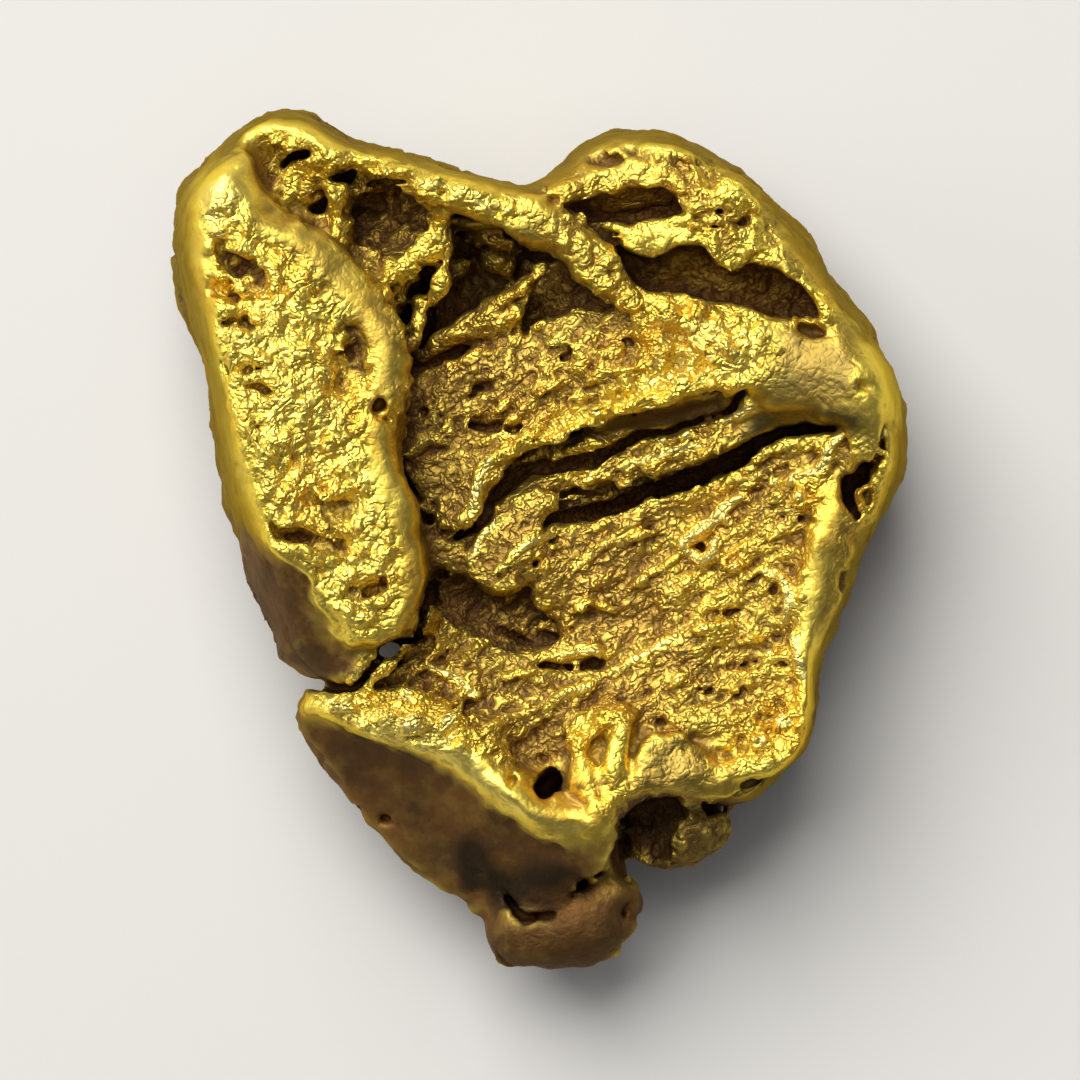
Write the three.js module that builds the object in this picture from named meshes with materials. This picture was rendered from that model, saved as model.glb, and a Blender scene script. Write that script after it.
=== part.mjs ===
// A gold nugget: one solid, waterworn piece of native gold whose edges have been beaten over
// into fat rolled rims round a crumpled basin. It lies on its back, with the basin facing up.
//
// Millimetres, +Z up. The origin is the middle of the nugget's bounding box in plan, on the
// plane that it rests on. +Y runs along its length, and +X across it.
//
// The solid is the zero level of a field that is negative inside the gold. The field starts as
// a pillow with the nugget's outline. Ridges and plates are joined to it and hollows and cracks
// are cut from it, each with a rounded edge, and one mesh is wrapped round what is left.

import * as THREE from "three";

// ---------------------------------------------------------------- driving dimensions

const LENGTH = 20.0; // along Y
const WIDTH = 17.16; // along X
const WAIST = 2.7; // height at which the outline is widest
const UNDERSIDE_ROUNDING = 3.4; // how far in from the outline the underside curves down
const FOOT_DEPTH = 0.22; // how much is worn off the lowest bulges, where it rests
const BASIN_FLOOR = 3.5; // height of the lowest ground between the plates
const CELL = 0.5; // spacing of the lattice that the surface is found on
const SMOOTHING_ROUNDS = 3; // how often the lattice's steps are evened out of the surface

// ---------------------------------------------------------------- the outline and its rim

// Stations round the outline, clockwise from the left shoulder:
// [x, y, height of the rim's crest, distance in from the outline to that crest]
const RIM = [
  [-8.6, 7.2, 6.3, 0.9],
  [-8.35, 8.1, 6.2, 1.1],
  [-7.85, 8.9, 6.0, 1.3],
  [-7.1, 9.5, 5.8, 1.2],
  [-6.2, 10.0, 5.6, 0.9],
  [-5.4, 9.93, 5.6, 0.8],
  [-4.7, 9.42, 5.7, 0.5],
  [-3.8, 9.08, 5.8, 0.5],
  [-2.6, 8.88, 5.9, 0.6],
  [-1.4, 8.57, 6.0, 0.6],
  [-0.45, 8.32, 5.9, 0.7],
  [0.15, 8.58, 5.5, 0.9],
  [0.9, 9.08, 5.3, 1.0],
  [1.6, 9.46, 5.3, 1.0],
  [2.4, 9.58, 5.4, 1.0],
  [3.2, 9.42, 5.5, 1.1],
  [4.1, 8.95, 5.6, 1.1],
  [5.0, 8.3, 5.7, 1.1],
  [5.9, 7.35, 5.6, 1.1],
  [6.6, 6.5, 5.5, 0.9],
  [7.25, 5.55, 5.5, 0.8],
  [7.85, 4.75, 5.8, 1.0],
  [8.35, 3.85, 6.0, 1.1],
  [8.57, 2.8, 5.9, 1.0],
  [8.45, 1.7, 5.5, 0.6],
  [8.05, 0.75, 5.2, 0.5],
  [7.6, -0.2, 5.0, 0.8],
  [7.25, -1.2, 4.8, 0.8],
  [6.7, -2.2, 4.9, 0.5],
  [6.45, -2.9, 5.1, 0.4],
  [6.45, -3.9, 5.2, 0.5],
  [6.3, -4.7, 5.2, 0.7],
  [5.8, -5.4, 5.1, 1.0],
  [5.0, -6.05, 4.9, 1.1],
  [4.3, -6.3, 4.8, 0.8],
  [3.4, -6.45, 4.9, 0.7],
  [2.5, -6.5, 5.1, 0.7],
  [2.05, -7.1, 5.3, 0.9],
  [1.7, -7.8, 5.4, 1.4],
  [0.9, -8.35, 5.5, 1.8],
  [0.1, -8.75, 5.5, 2.1],
  [-0.7, -8.85, 5.6, 2.4],
  [-1.5, -8.6, 5.6, 2.6],
  [-2.3, -8.12, 5.6, 2.6],
  [-3.0, -7.7, 5.6, 2.5],
  [-3.7, -7.12, 5.6, 2.3],
  [-4.3, -6.45, 5.5, 2.0],
  [-4.85, -5.6, 5.5, 1.6],
  [-5.4, -4.95, 5.4, 1.2],
  [-5.78, -4.4, 5.2, 0.9],
  [-5.7, -3.8, 5.0, 0.8],
  [-5.5, -3.3, 4.9, 0.9],
  [-5.85, -3.0, 5.4, 1.3],
  [-6.2, -2.5, 5.8, 1.5],
  [-6.5, -1.7, 6.2, 1.6],
  [-6.75, -0.9, 6.5, 1.4],
  [-7.0, 0.0, 6.7, 1.1],
  [-7.35, 1.1, 6.8, 1.1],
  [-7.58, 2.1, 6.9, 0.95],
  [-7.72, 3.1, 6.9, 0.75],
  [-7.87, 4.0, 6.9, 0.65],
  [-8.15, 5.0, 6.8, 0.75],
  [-8.45, 6.1, 6.6, 1.0],
];

// ---------------------------------------------------------------- what is cut and joined

// The basin inside the rims, cut down to BASIN_FLOOR before the plates fill it.
const BASIN = {
  edge: 0.3,
  outline: [
    [-6.3, 9.2], [-5.0, 9.0], [-3.5, 8.6], [-2.45, 7.95], [-1.2, 7.6], [0.1, 6.75],
    [1.3, 5.85], [2.5, 5.4], [3.4, 5.1], [4.4, 4.2], [5.2, 3.1], [6.4, 2.9], [7.1, 2.5],
    [7.1, 1.6], [6.9, 0.6], [6.6, -0.4], [6.2, -1.5], [6.0, -3.4], [5.8, -4.2], [5.2, -4.8],
    [3.7, -5.5], [2.6, -5.6], [2.0, -5.5], [1.5, -6.2], [0.5, -6.3], [-0.9, -5.6],
    [-2.3, -4.75], [-4.4, -4.05], [-5.2, -3.7], [-5.0, -3.4], [-4.1, -3.3], [-3.0, -2.4],
    [-2.55, -1.4], [-2.7, -0.4], [-3.0, 0.8], [-3.5, 2.0], [-3.3, 3.2], [-3.2, 4.4],
    [-3.7, 5.5], [-4.7, 6.5], [-5.9, 7.3], [-6.5, 8.2],
  ],
};

// Plates of gold lying in the basin. Each top is a plane: its height at `at`, with a slope
// along X and along Y, and `dish` lifts it with the square of the distance from `at`.
const PLATES = [
  {
    name: "upper left bench", edge: 0.4, join: 0.3,
    at: [-4.6, 7.6], height: 5.0, slope: [0.0, 0.16], dish: 0.0,
    outline: [
      [-6.9, 9.6], [-5.0, 9.5], [-2.6, 8.8], [-1.9, 7.6], [-2.25, 6.6], [-2.8, 6.0],
      [-3.3, 5.2], [-3.6, 4.7], [-4.6, 5.5], [-5.6, 6.6], [-6.9, 7.4],
    ],
  },
  {
    name: "middle plate", edge: 0.4, join: 0.3,
    at: [1.5, 3.8], height: 5.3, slope: [0.16, 0.0], dish: 0.0,
    outline: [
      [-3.3, 3.5], [-2.0, 4.15], [-1.0, 4.55], [0.0, 4.95], [2.2, 5.25], [3.6, 5.5],
      [5.4, 4.6], [5.2, 3.6], [4.3, 3.5], [2.6, 3.1], [1.3, 2.55], [0.0, 2.2], [-0.8, 1.4],
      [-1.3, 0.5], [-2.0, 0.1], [-2.7, 0.5], [-3.4, 1.6],
    ],
  },
  {
    name: "strip", edge: 0.35, join: 0.3,
    at: [1.0, 1.4], height: 4.75, slope: [0.14, 0.0], dish: 0.0,
    outline: [
      [-1.4, 0.4], [-0.9, 1.6], [0.0, 2.6], [1.8, 3.0], [3.6, 3.6], [4.8, 3.8],
      [6.2, 3.8], [7.6, 3.3], [7.2, 2.75], [5.6, 2.6], [4.0, 1.85], [2.0, 1.2], [0.2, 0.75],
    ],
  },
  {
    name: "lower plate", edge: 0.4, join: 0.35,
    at: [0.5, -1.2], height: 4.15, slope: [0.0, 0.0], dish: 0.018,
    outline: [
      [0.0, 1.0], [1.4, 1.4], [2.4, 1.8], [4.0, 2.3], [5.4, 3.0], [7.2, 3.0], [7.2, 1.5],
      [7.1, 0.6], [7.3, -0.4], [7.0, -2.0], [6.6, -4.0], [5.6, -5.2], [3.2, -5.9],
      [2.0, -5.9], [1.4, -6.8], [0.0, -6.7], [-1.2, -5.8], [-2.8, -5.1], [-4.4, -4.5],
      [-5.5, -4.0], [-4.6, -3.6], [-3.6, -3.1], [-2.5, -1.8], [-1.9, -1.65], [-0.8, -2.5],
      [0.2, -2.3], [-0.2, -1.4], [0.1, -0.2],
    ],
  },
  {
    name: "inner lump", edge: 0.45, join: 0.3,
    at: [-1.0, -0.2], height: 4.5, slope: [0.0, 0.0], dish: 0.0,
    outline: [
      [-3.2, 0.4], [-1.2, 0.4], [-0.5, 0.9], [0.2, 1.2], [0.5, 0.8], [0.0, -0.5],
      [-0.4, -1.2], [-1.0, -1.2], [-1.8, -0.9], [-3.2, -0.6],
    ],
  },
  {
    name: "flat knob", edge: 0.3, join: 0.2,
    at: [3.0, -5.0], height: 5.15, slope: [0.0, 0.0], dish: 0.0,
    outline: [[2.1, -4.9], [2.6, -4.4], [3.5, -4.4], [4.0, -5.2], [3.4, -5.8], [2.2, -5.7]],
  },
];

// Rolled crests, as a round bar through [x, y, z, radius] points.
const CRESTS = [
  {
    name: "upper band", join: 0.5,
    path: [
      [-6.0, 9.3, 5.1, 0.55], [-4.4, 8.85, 5.2, 0.6], [-3.0, 8.45, 5.3, 0.65],
      [-1.6, 8.0, 5.4, 0.65], [-0.5, 7.6, 5.4, 0.65], [0.6, 6.9, 5.3, 0.6],
      [1.5, 6.15, 5.3, 0.55], [2.4, 5.5, 5.3, 0.55], [3.5, 5.15, 5.4, 0.7],
      [5.0, 4.6, 5.4, 0.8], [6.6, 4.1, 5.2, 0.9],
    ],
  },
  { name: "tail nub", join: 0.25, path: [[-0.15, -9.0, 2.7, 0.96], [1.35, -8.65, 2.9, 0.98]] },
  { name: "tail lobe", join: 0.3, path: [[2.9, -6.75, 2.7, 0.82], [3.65, -6.6, 2.9, 0.85]] },
];

// Hollows, each cut down to a floor. `edge` rounds its mouth.
const HOLLOWS = [
  {
    name: "round pit", floor: 3.9, edge: 0.6, join: 0.5,
    outline: [
      [-4.5, 7.4], [-4.2, 7.95], [-3.3, 8.3], [-2.7, 8.0], [-2.5, 7.4], [-2.8, 6.9],
      [-3.8, 6.6], [-4.4, 6.75],
    ],
  },
  {
    name: "upper slot", floor: 4.2, edge: 0.5, join: 0.5,
    outline: [
      [0.5, 7.8], [1.9, 8.0], [2.7, 8.15], [3.25, 7.8], [3.3, 7.4], [2.4, 7.3], [1.2, 7.4],
    ],
  },
  {
    name: "long slot", floor: 4.0, edge: 0.5, join: 0.5,
    outline: [
      [1.7, 6.85], [2.8, 6.65], [3.7, 6.8], [4.4, 6.2], [5.4, 6.25], [6.3, 5.9],
      [6.5, 5.2], [5.4, 5.15], [4.0, 5.55], [2.4, 5.85], [2.0, 6.2],
    ],
  },
  {
    name: "deep hole", floor: 3.1, edge: 0.4, join: 0.4,
    outline: [[-0.3, -5.5], [0.2, -5.0], [0.8, -5.4], [0.65, -6.05], [0.0, -6.1]],
  },
  {
    name: "tail cavity", floor: 3.0, edge: 0.5, join: 0.4,
    outline: [[1.7, -7.6], [1.8, -6.6], [2.5, -6.0], [3.1, -6.4], [2.9, -7.2], [2.3, -7.8]],
  },
  {
    name: "rim hole", floor: 4.1, edge: 0.4, join: 0.4,
    outline: [[7.2, 1.8], [7.35, 1.1], [7.0, 0.3], [6.6, 0.4], [6.6, 1.4]],
  },
];

// The cleft that parts the foot of the left ridge from the lower rim, as a blade that stands
// on a floor and follows [x, y, half width] points.
const CLEFT = {
  floor: 2.6, edge: 0.35, join: 0.4,
  path: [[-6.4, -3.35, 0.42], [-5.0, -3.42, 0.4], [-4.1, -3.3, 0.4], [-3.4, -2.6, 0.45],
    [-2.7, -2.0, 0.42], [-2.1, -1.6, 0.42], [-1.3, -1.9, 0.4], [-0.5, -2.4, 0.35]],
};

// Bulges of the underside: [x, y, radius], each reaching below the resting plane before it is
// worn flat there.
const FEET = [
  [-4.6, 3.6, 4.6],
  [3.9, 2.6, 4.8],
  [0.1, -4.8, 4.0],
];

// ---------------------------------------------------------------- field tools

/** Rounded corner where two half-spaces meet: negative where both are, with radius r. */
function roundCorner(a, b, r) {
  const u = a + r;
  const v = b + r;
  return Math.min(Math.max(u, v), 0) + Math.hypot(Math.max(u, 0), Math.max(v, 0)) - r;
}

/** Union of two fields, with a fillet of about k. */
function joined(a, b, k) {
  const h = Math.max(k - Math.abs(a - b), 0);
  return Math.min(a, b) - (h * h) / (4 * k);
}

/** Field a with field b taken away, with an edge rounded by about k. */
function cut(a, b, k) {
  return -joined(-a, b, k);
}

/** Closed smooth curve through [x, y] points, as a list of Vector2. */
function smoothLoop(points) {
  const knots = points.map(([x, y]) => new THREE.Vector3(x, y, 0));
  const curve = new THREE.CatmullRomCurve3(knots, true, "centripetal");
  return curve.getPoints(points.length * 4).slice(1).map((p) => new THREE.Vector2(p.x, p.y));
}

/** Signed distance from (x, y) to a closed loop, negative inside. */
function loopDistance(x, y, loop) {
  let nearest = Infinity;
  let inside = false;
  let a = loop[loop.length - 1];
  for (const b of loop) {
    const ex = b.x - a.x;
    const ey = b.y - a.y;
    const along = ((x - a.x) * ex + (y - a.y) * ey) / (ex * ex + ey * ey || 1);
    const t = Math.min(Math.max(along, 0), 1);
    nearest = Math.min(nearest, Math.hypot(x - a.x - ex * t, y - a.y - ey * t));
    if (a.y > y !== b.y > y && x < (ex * (y - a.y)) / ey + a.x) inside = !inside;
    a = b;
  }
  return inside ? -nearest : nearest;
}

/** Distance from p to a chain of points whose last number is a radius, less that radius. */
function chainDistance(p, chain) {
  let nearest = Infinity;
  for (let i = 1; i < chain.length; i++) {
    const a = chain[i - 1];
    const b = chain[i];
    const n = p.length;
    let dot = 0;
    let span = 0;
    for (let k = 0; k < n; k++) {
      dot += (p[k] - a[k]) * (b[k] - a[k]);
      span += (b[k] - a[k]) ** 2;
    }
    const t = Math.min(Math.max(dot / span, 0), 1);
    let square = 0;
    for (let k = 0; k < n; k++) square += (p[k] - a[k] - (b[k] - a[k]) * t) ** 2;
    nearest = Math.min(nearest, Math.sqrt(square) - (a[n] + (b[n] - a[n]) * t));
  }
  return nearest;
}

// ---------------------------------------------------------------- the nugget's field

const outlineLoop = smoothLoop(RIM);
const basinLoop = smoothLoop(BASIN.outline);
const plates = PLATES.map((plate) => ({ ...plate, loop: smoothLoop(plate.outline) }));
const hollows = HOLLOWS.map((hollow) => ({ ...hollow, loop: smoothLoop(hollow.outline) }));

/** Crest height and width of the rim near (x, y), weighted towards the nearest stations. */
function rimAt(x, y) {
  const softness = 0.4;
  let total = 0;
  let crest = 0;
  let width = 0;
  for (const [sx, sy, height, reach] of RIM) {
    const weight = 1 / ((x - sx) ** 2 + (y - sy) ** 2 + softness) ** 2;
    total += weight;
    crest += weight * height;
    width += weight * reach;
  }
  return { crest: crest / total, width: width / total };
}

/** Height of the underside under (x, y): shallow bulges, of which three carry the nugget. */
function undersideAt(x, y) {
  let depth = 0.55 + 0.2 * Math.sin(0.9 * x + 0.4) * Math.sin(0.8 * y - 0.6);
  for (const [fx, fy, reach] of FEET) {
    const fall = 1 - Math.min(((x - fx) ** 2 + (y - fy) ** 2) / (reach * reach), 1);
    depth -= (0.55 + FOOT_DEPTH + 0.2) * fall * fall;
  }
  return depth;
}

/** Pillow with the nugget's outline: quarter ellipses run from the waist up to the rim's
 *  crest and down to the underside. */
function bodyField(x, y, z, inset, rim) {
  const above = z > WAIST;
  const reach = above ? rim.width : UNDERSIDE_ROUNDING;
  const height = above ? rim.crest - WAIST : WAIST - undersideAt(x, y);
  const power = above ? 1.8 : 2.0;
  const u = Math.max(1 + inset / reach, 0);
  const v = Math.abs(z - WAIST) / height;
  const level = (u ** power + v ** power) ** (1 / power);
  if (level < 1e-6) return -Math.min(reach, height);
  const steepness = Math.hypot(
    (u / level) ** (power - 1) / reach,
    (v / level) ** (power - 1) / height,
  );
  return (level - 1) / steepness;
}

/** The field of the whole nugget over one point of the plan, as a function of z. */
function columnAt(x, y) {
  const inset = loopDistance(x, y, outlineLoop);
  const rim = rimAt(x, y);
  const basin = loopDistance(x, y, basinLoop);
  const plateFacts = plates.map((plate) => {
    const dx = x - plate.at[0];
    const dy = y - plate.at[1];
    const lift = plate.slope[0] * dx + plate.slope[1] * dy + plate.dish * (dx * dx + dy * dy);
    return { plate, away: loopDistance(x, y, plate.loop), top: plate.height + lift };
  });
  const hollowFacts = hollows.map((hollow) => ({
    hollow,
    away: loopDistance(x, y, hollow.loop),
  }));
  const cleft = chainDistance([x, y], CLEFT.path);

  return (z) => {
    let field = bodyField(x, y, z, inset, rim);
    field = cut(field, roundCorner(basin, BASIN_FLOOR - z, BASIN.edge), 0.35);
    for (const crest of CRESTS) {
      field = joined(field, chainDistance([x, y, z], crest.path), crest.join);
    }
    for (const { plate, away, top } of plateFacts) {
      const shelf = Math.max(roundCorner(away, z - top, plate.edge), 1.0 - z);
      field = joined(field, shelf, plate.join);
    }
    for (const { hollow, away } of hollowFacts) {
      field = cut(field, roundCorner(away, hollow.floor - z, hollow.edge), hollow.join);
    }
    field = cut(field, roundCorner(cleft, CLEFT.floor - z, CLEFT.edge), CLEFT.join);
    return Math.max(field, -z);
  };
}

// ---------------------------------------------------------------- from field to mesh

const CORNERS = [0, 1, 2, 3, 4, 5, 6, 7].map((i) => [i & 1, (i >> 1) & 1, i >> 2]);

/** Lattice of field values that covers the nugget, with room outside it on every side. */
function sampleLattice() {
  const low = [-WIDTH / 2 - 3 * CELL, -LENGTH / 2 - 3 * CELL, -2.5 * CELL];
  const high = [WIDTH / 2 + 3 * CELL, LENGTH / 2 + 3 * CELL, 8.2];
  const size = low.map((v, k) => Math.ceil((high[k] - v) / CELL) + 1);
  const values = new Float64Array(size[0] * size[1] * size[2]);
  const index = (i, j, k) => i + size[0] * (j + size[1] * k);
  for (let i = 0; i < size[0]; i++) {
    for (let j = 0; j < size[1]; j++) {
      const fieldAt = columnAt(low[0] + i * CELL, low[1] + j * CELL);
      for (let k = 0; k < size[2]; k++) values[index(i, j, k)] = fieldAt(low[2] + k * CELL);
    }
  }
  return { low, size, values, index };
}

/** Keeps the largest piece of gold, fills what is sealed in it, and fills the lattice points
 *  that would pinch the surface, so that it closes on itself everywhere. */
function tidyLattice({ size, values, index }) {
  const [nx, ny, nz] = size;
  const stride = [1, nx, nx * ny];
  const faintly = 0.02 * CELL;

  const spread = (start, wanted, mark, value) => {
    const stack = [start];
    mark[start] = value;
    let count = 0;
    while (stack.length) {
      const at = stack.pop();
      count += 1;
      const place = [at % nx, Math.floor(at / nx) % ny, Math.floor(at / (nx * ny))];
      for (let k = 0; k < 3; k++) {
        for (const step of [-1, 1]) {
          const next = place[k] + step;
          const to = at + step * stride[k];
          if (next < 0 || next >= size[k] || mark[to] || !wanted(to)) continue;
          mark[to] = value;
          stack.push(to);
        }
      }
    }
    return count;
  };

  const gold = new Int32Array(values.length);
  const counts = [0];
  for (let at = 0; at < values.length; at++) {
    if (values[at] >= 0 || gold[at]) continue;
    counts.push(spread(at, (n) => values[n] < 0, gold, counts.length));
  }
  const main = counts.indexOf(Math.max(...counts));
  for (let at = 0; at < values.length; at++) {
    if (values[at] < 0 && gold[at] !== main) values[at] = CELL;
  }
  const air = new Int32Array(values.length);
  spread(0, (n) => values[n] >= 0, air, 1);
  for (let at = 0; at < values.length; at++) {
    if (values[at] >= 0 && !air[at]) values[at] = -faintly;
  }

  let changed = true;
  while (changed) {
    changed = false;
    for (let k = 0; k < nz - 1; k++) {
      for (let j = 0; j < ny - 1; j++) {
        for (let i = 0; i < nx - 1; i++) {
          const at = CORNERS.map(([a, b, c]) => index(i + a, j + b, k + c));
          const solid = at.map((n) => values[n] < 0);
          const fill = pinchedCorner(solid);
          if (fill < 0) continue;
          values[at[fill]] = -faintly;
          changed = true;
        }
      }
    }
  }
}

/** A corner to fill in a cell whose surface would touch itself, or -1. That is so where two
 *  corners across a face, or across the cell, are alone on their side of the surface. */
function pinchedCorner(solid) {
  const faces = [
    [0, 1, 3, 2], [4, 5, 7, 6], [0, 1, 5, 4], [2, 3, 7, 6], [0, 2, 6, 4], [1, 3, 7, 5],
  ];
  for (const [a, b, c, d] of faces) {
    if (solid[a] === solid[c] && solid[b] === solid[d] && solid[a] !== solid[b]) {
      return solid[a] ? b : a;
    }
  }
  const count = solid.filter(Boolean).length;
  for (let i = 0; i < 4; i++) {
    const alike = solid[i] === solid[7 - i];
    if (alike && solid[i] && count === 2) return i ^ 1;
    if (alike && !solid[i] && count === 6) return i;
  }
  return -1;
}

/** Surface of the lattice's zero level: one vertex in each cell that it crosses, at the mean
 *  of the crossings of the cell's edges, and one quad round each lattice edge it crosses. */
function wrapSurface({ low, size, values, index }) {
  const positions = [];
  const vertexOf = new Map();
  const edges = [];
  for (let a = 0; a < 8; a++) {
    for (const bit of [1, 2, 4]) if (!(a & bit)) edges.push([a, a | bit]);
  }
  const vertexIn = (i, j, k) => {
    const key = index(i, j, k);
    if (vertexOf.has(key)) return vertexOf.get(key);
    const sum = [0, 0, 0];
    let crossings = 0;
    for (const [a, b] of edges) {
      const va = values[index(i + CORNERS[a][0], j + CORNERS[a][1], k + CORNERS[a][2])];
      const vb = values[index(i + CORNERS[b][0], j + CORNERS[b][1], k + CORNERS[b][2])];
      if (va < 0 === vb < 0) continue;
      const t = va / (va - vb);
      for (let n = 0; n < 3; n++) sum[n] += CORNERS[a][n] + (CORNERS[b][n] - CORNERS[a][n]) * t;
      crossings += 1;
    }
    const place = [i, j, k].map((v, n) => low[n] + CELL * (v + sum[n] / crossings));
    if (Math.abs(place[2]) < 0.1 * CELL) place[2] = 0;
    positions.push(...place);
    vertexOf.set(key, positions.length / 3 - 1);
    return vertexOf.get(key);
  };

  const triangles = [];
  for (let k = 1; k < size[2] - 1; k++) {
    for (let j = 1; j < size[1] - 1; j++) {
      for (let i = 1; i < size[0] - 1; i++) {
        for (let axis = 0; axis < 3; axis++) {
          const step = [0, 0, 0];
          step[axis] = 1;
          const here = values[index(i, j, k)] < 0;
          const there = values[index(i + step[0], j + step[1], k + step[2])] < 0;
          if (here === there) continue;
          const u = [0, 0, 0];
          const v = [0, 0, 0];
          u[(axis + 1) % 3] = 1;
          v[(axis + 2) % 3] = 1;
          const quad = [
            vertexIn(i - u[0] - v[0], j - u[1] - v[1], k - u[2] - v[2]),
            vertexIn(i - v[0], j - v[1], k - v[2]),
            vertexIn(i, j, k),
            vertexIn(i - u[0], j - u[1], k - u[2]),
          ];
          if (!here) quad.reverse();
          triangles.push(...splitQuad(quad, positions));
        }
      }
    }
  }
  return { positions, triangles };
}

/** Two triangles of a quad, split along its shorter diagonal. */
function splitQuad([a, b, c, d], positions) {
  const span = (m, n) =>
    Math.hypot(
      positions[3 * m] - positions[3 * n],
      positions[3 * m + 1] - positions[3 * n + 1],
      positions[3 * m + 2] - positions[3 * n + 2],
    );
  return span(a, c) < span(b, d) ? [a, b, c, a, c, d] : [b, c, d, b, d, a];
}

/** Evens the surface out, moving each vertex towards the mean of its neighbours and then
 *  nearly as far back, which keeps the nugget's size. Worn feet stay in their plane. */
function evenOut(positions, triangles) {
  const count = positions.length / 3;
  for (const share of Array(SMOOTHING_ROUNDS).fill([0.5, -0.52]).flat()) {
    const sum = new Float64Array(positions.length);
    const met = new Float64Array(count);
    for (let t = 0; t < triangles.length; t++) {
      const a = triangles[t];
      const b = triangles[t % 3 === 2 ? t - 2 : t + 1];
      for (let n = 0; n < 3; n++) {
        sum[3 * a + n] += positions[3 * b + n];
        sum[3 * b + n] += positions[3 * a + n];
      }
      met[a] += 1;
      met[b] += 1;
    }
    for (let a = 0; a < count; a++) {
      if (positions[3 * a + 2] === 0) continue;
      for (let n = 0; n < 3; n++) {
        const at = 3 * a + n;
        positions[at] += share * (sum[at] / met[a] - positions[at]);
      }
      positions[3 * a + 2] = Math.max(positions[3 * a + 2], 0.02);
    }
  }
}

// ---------------------------------------------------------------- the part

/** The nugget's geometry, stood on z = 0 with its box WIDTH by LENGTH about the origin. */
function nuggetGeometry() {
  const lattice = sampleLattice();
  tidyLattice(lattice);
  const { positions, triangles } = wrapSurface(lattice);
  evenOut(positions, triangles);
  const geometry = new THREE.BufferGeometry();
  geometry.setAttribute("position", new THREE.Float32BufferAttribute(positions, 3));
  geometry.setIndex(triangles);
  geometry.computeBoundingBox();
  const box = geometry.boundingBox;
  const middle = box.getCenter(new THREE.Vector3());
  const span = box.getSize(new THREE.Vector3());
  geometry.translate(-middle.x, -middle.y, -box.min.z);
  geometry.scale(WIDTH / span.x, LENGTH / span.y, 1);
  geometry.computeVertexNormals();
  return geometry;
}

/** Worn native gold. */
function goldMaterial() {
  return new THREE.MeshStandardMaterial({ color: 0xd9a531, roughness: 0.32, metalness: 1.0 });
}

const nugget = new THREE.Mesh(nuggetGeometry(), goldMaterial());
nugget.name = "nugget";

const part = new THREE.Group();
part.add(nugget);

export default part;
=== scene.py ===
"""A waterworn gold nugget lying on a pale floor.

The nugget is one closed surface. It is the zero level of a field that is negative inside the gold. The
field starts as a pillow with the nugget's outline. Each part of the nugget joins its plates, ridges and
lumps to that field and cuts its slots, cracks and pits from it, and a net of quads is wrapped round what
is left.

Places and sizes are in millimetres. The origin is the middle of the nugget's box in plan, on the plane
that it rests on: +X across it, +Y along it and +Z up out of the basin.
"""

from __future__ import annotations

import logging
import math
from collections.abc import Sequence
from dataclasses import dataclass
from enum import Enum

import bpy
import numpy as np
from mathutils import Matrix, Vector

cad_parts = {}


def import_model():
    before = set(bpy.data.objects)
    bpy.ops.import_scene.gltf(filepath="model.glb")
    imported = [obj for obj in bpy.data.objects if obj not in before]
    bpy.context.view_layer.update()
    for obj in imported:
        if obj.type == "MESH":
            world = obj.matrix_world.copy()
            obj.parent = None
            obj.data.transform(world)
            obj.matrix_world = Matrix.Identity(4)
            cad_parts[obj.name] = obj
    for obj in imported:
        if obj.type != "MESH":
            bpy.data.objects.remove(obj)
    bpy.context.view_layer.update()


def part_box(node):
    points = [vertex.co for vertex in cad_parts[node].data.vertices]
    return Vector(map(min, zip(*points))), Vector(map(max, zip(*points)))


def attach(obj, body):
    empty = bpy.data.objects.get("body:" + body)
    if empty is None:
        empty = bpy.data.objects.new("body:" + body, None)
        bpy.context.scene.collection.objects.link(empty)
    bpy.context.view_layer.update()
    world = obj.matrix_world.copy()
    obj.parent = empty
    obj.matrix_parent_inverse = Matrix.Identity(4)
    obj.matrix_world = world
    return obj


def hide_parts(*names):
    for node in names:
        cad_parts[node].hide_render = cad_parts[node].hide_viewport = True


Array = np.ndarray
Window = tuple[slice, slice]
Point = tuple[float, float]
Rows = Sequence[tuple[float, ...]]

MM = 0.001
LOG = logging.getLogger("gold_nugget")


# -------------------- curves in plan


def smooth_curve(points: Array, closed: bool, parts: int = 5) -> Array:
    """Runs a Catmull-Rom curve through points.

    Between two points it is the cubic whose slope at each of them is half the step from the point before
    to the point after.

    Args:
        points: One row for each point, of any number of columns.
        closed: Whether the curve returns to its first point.
        parts: How many straight parts each step is split into.

    Returns:
        The rows along the curve.
    """
    if closed:
        before, start, end, after = (np.roll(points, n, axis=0) for n in (1, 0, -1, -2))
    else:
        padded = np.vstack([2 * points[0] - points[1], points, 2 * points[-1] - points[-2]])
        before, start, end, after = padded[:-3], padded[1:-2], padded[2:-1], padded[3:]
    t = (np.arange(parts) / parts)[None, :, None]
    before, start, end, after = (row[:, None, :] for row in (before, start, end, after))
    curve = 0.5 * (
        2 * start
        + (end - before) * t
        + (2 * before - 5 * start + 4 * end - after) * t**2
        + (3 * start - before - 3 * end + after) * t**3
    )
    curve = curve.reshape(-1, points.shape[1])
    return curve if closed else np.vstack([curve, points[-1]])


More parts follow.
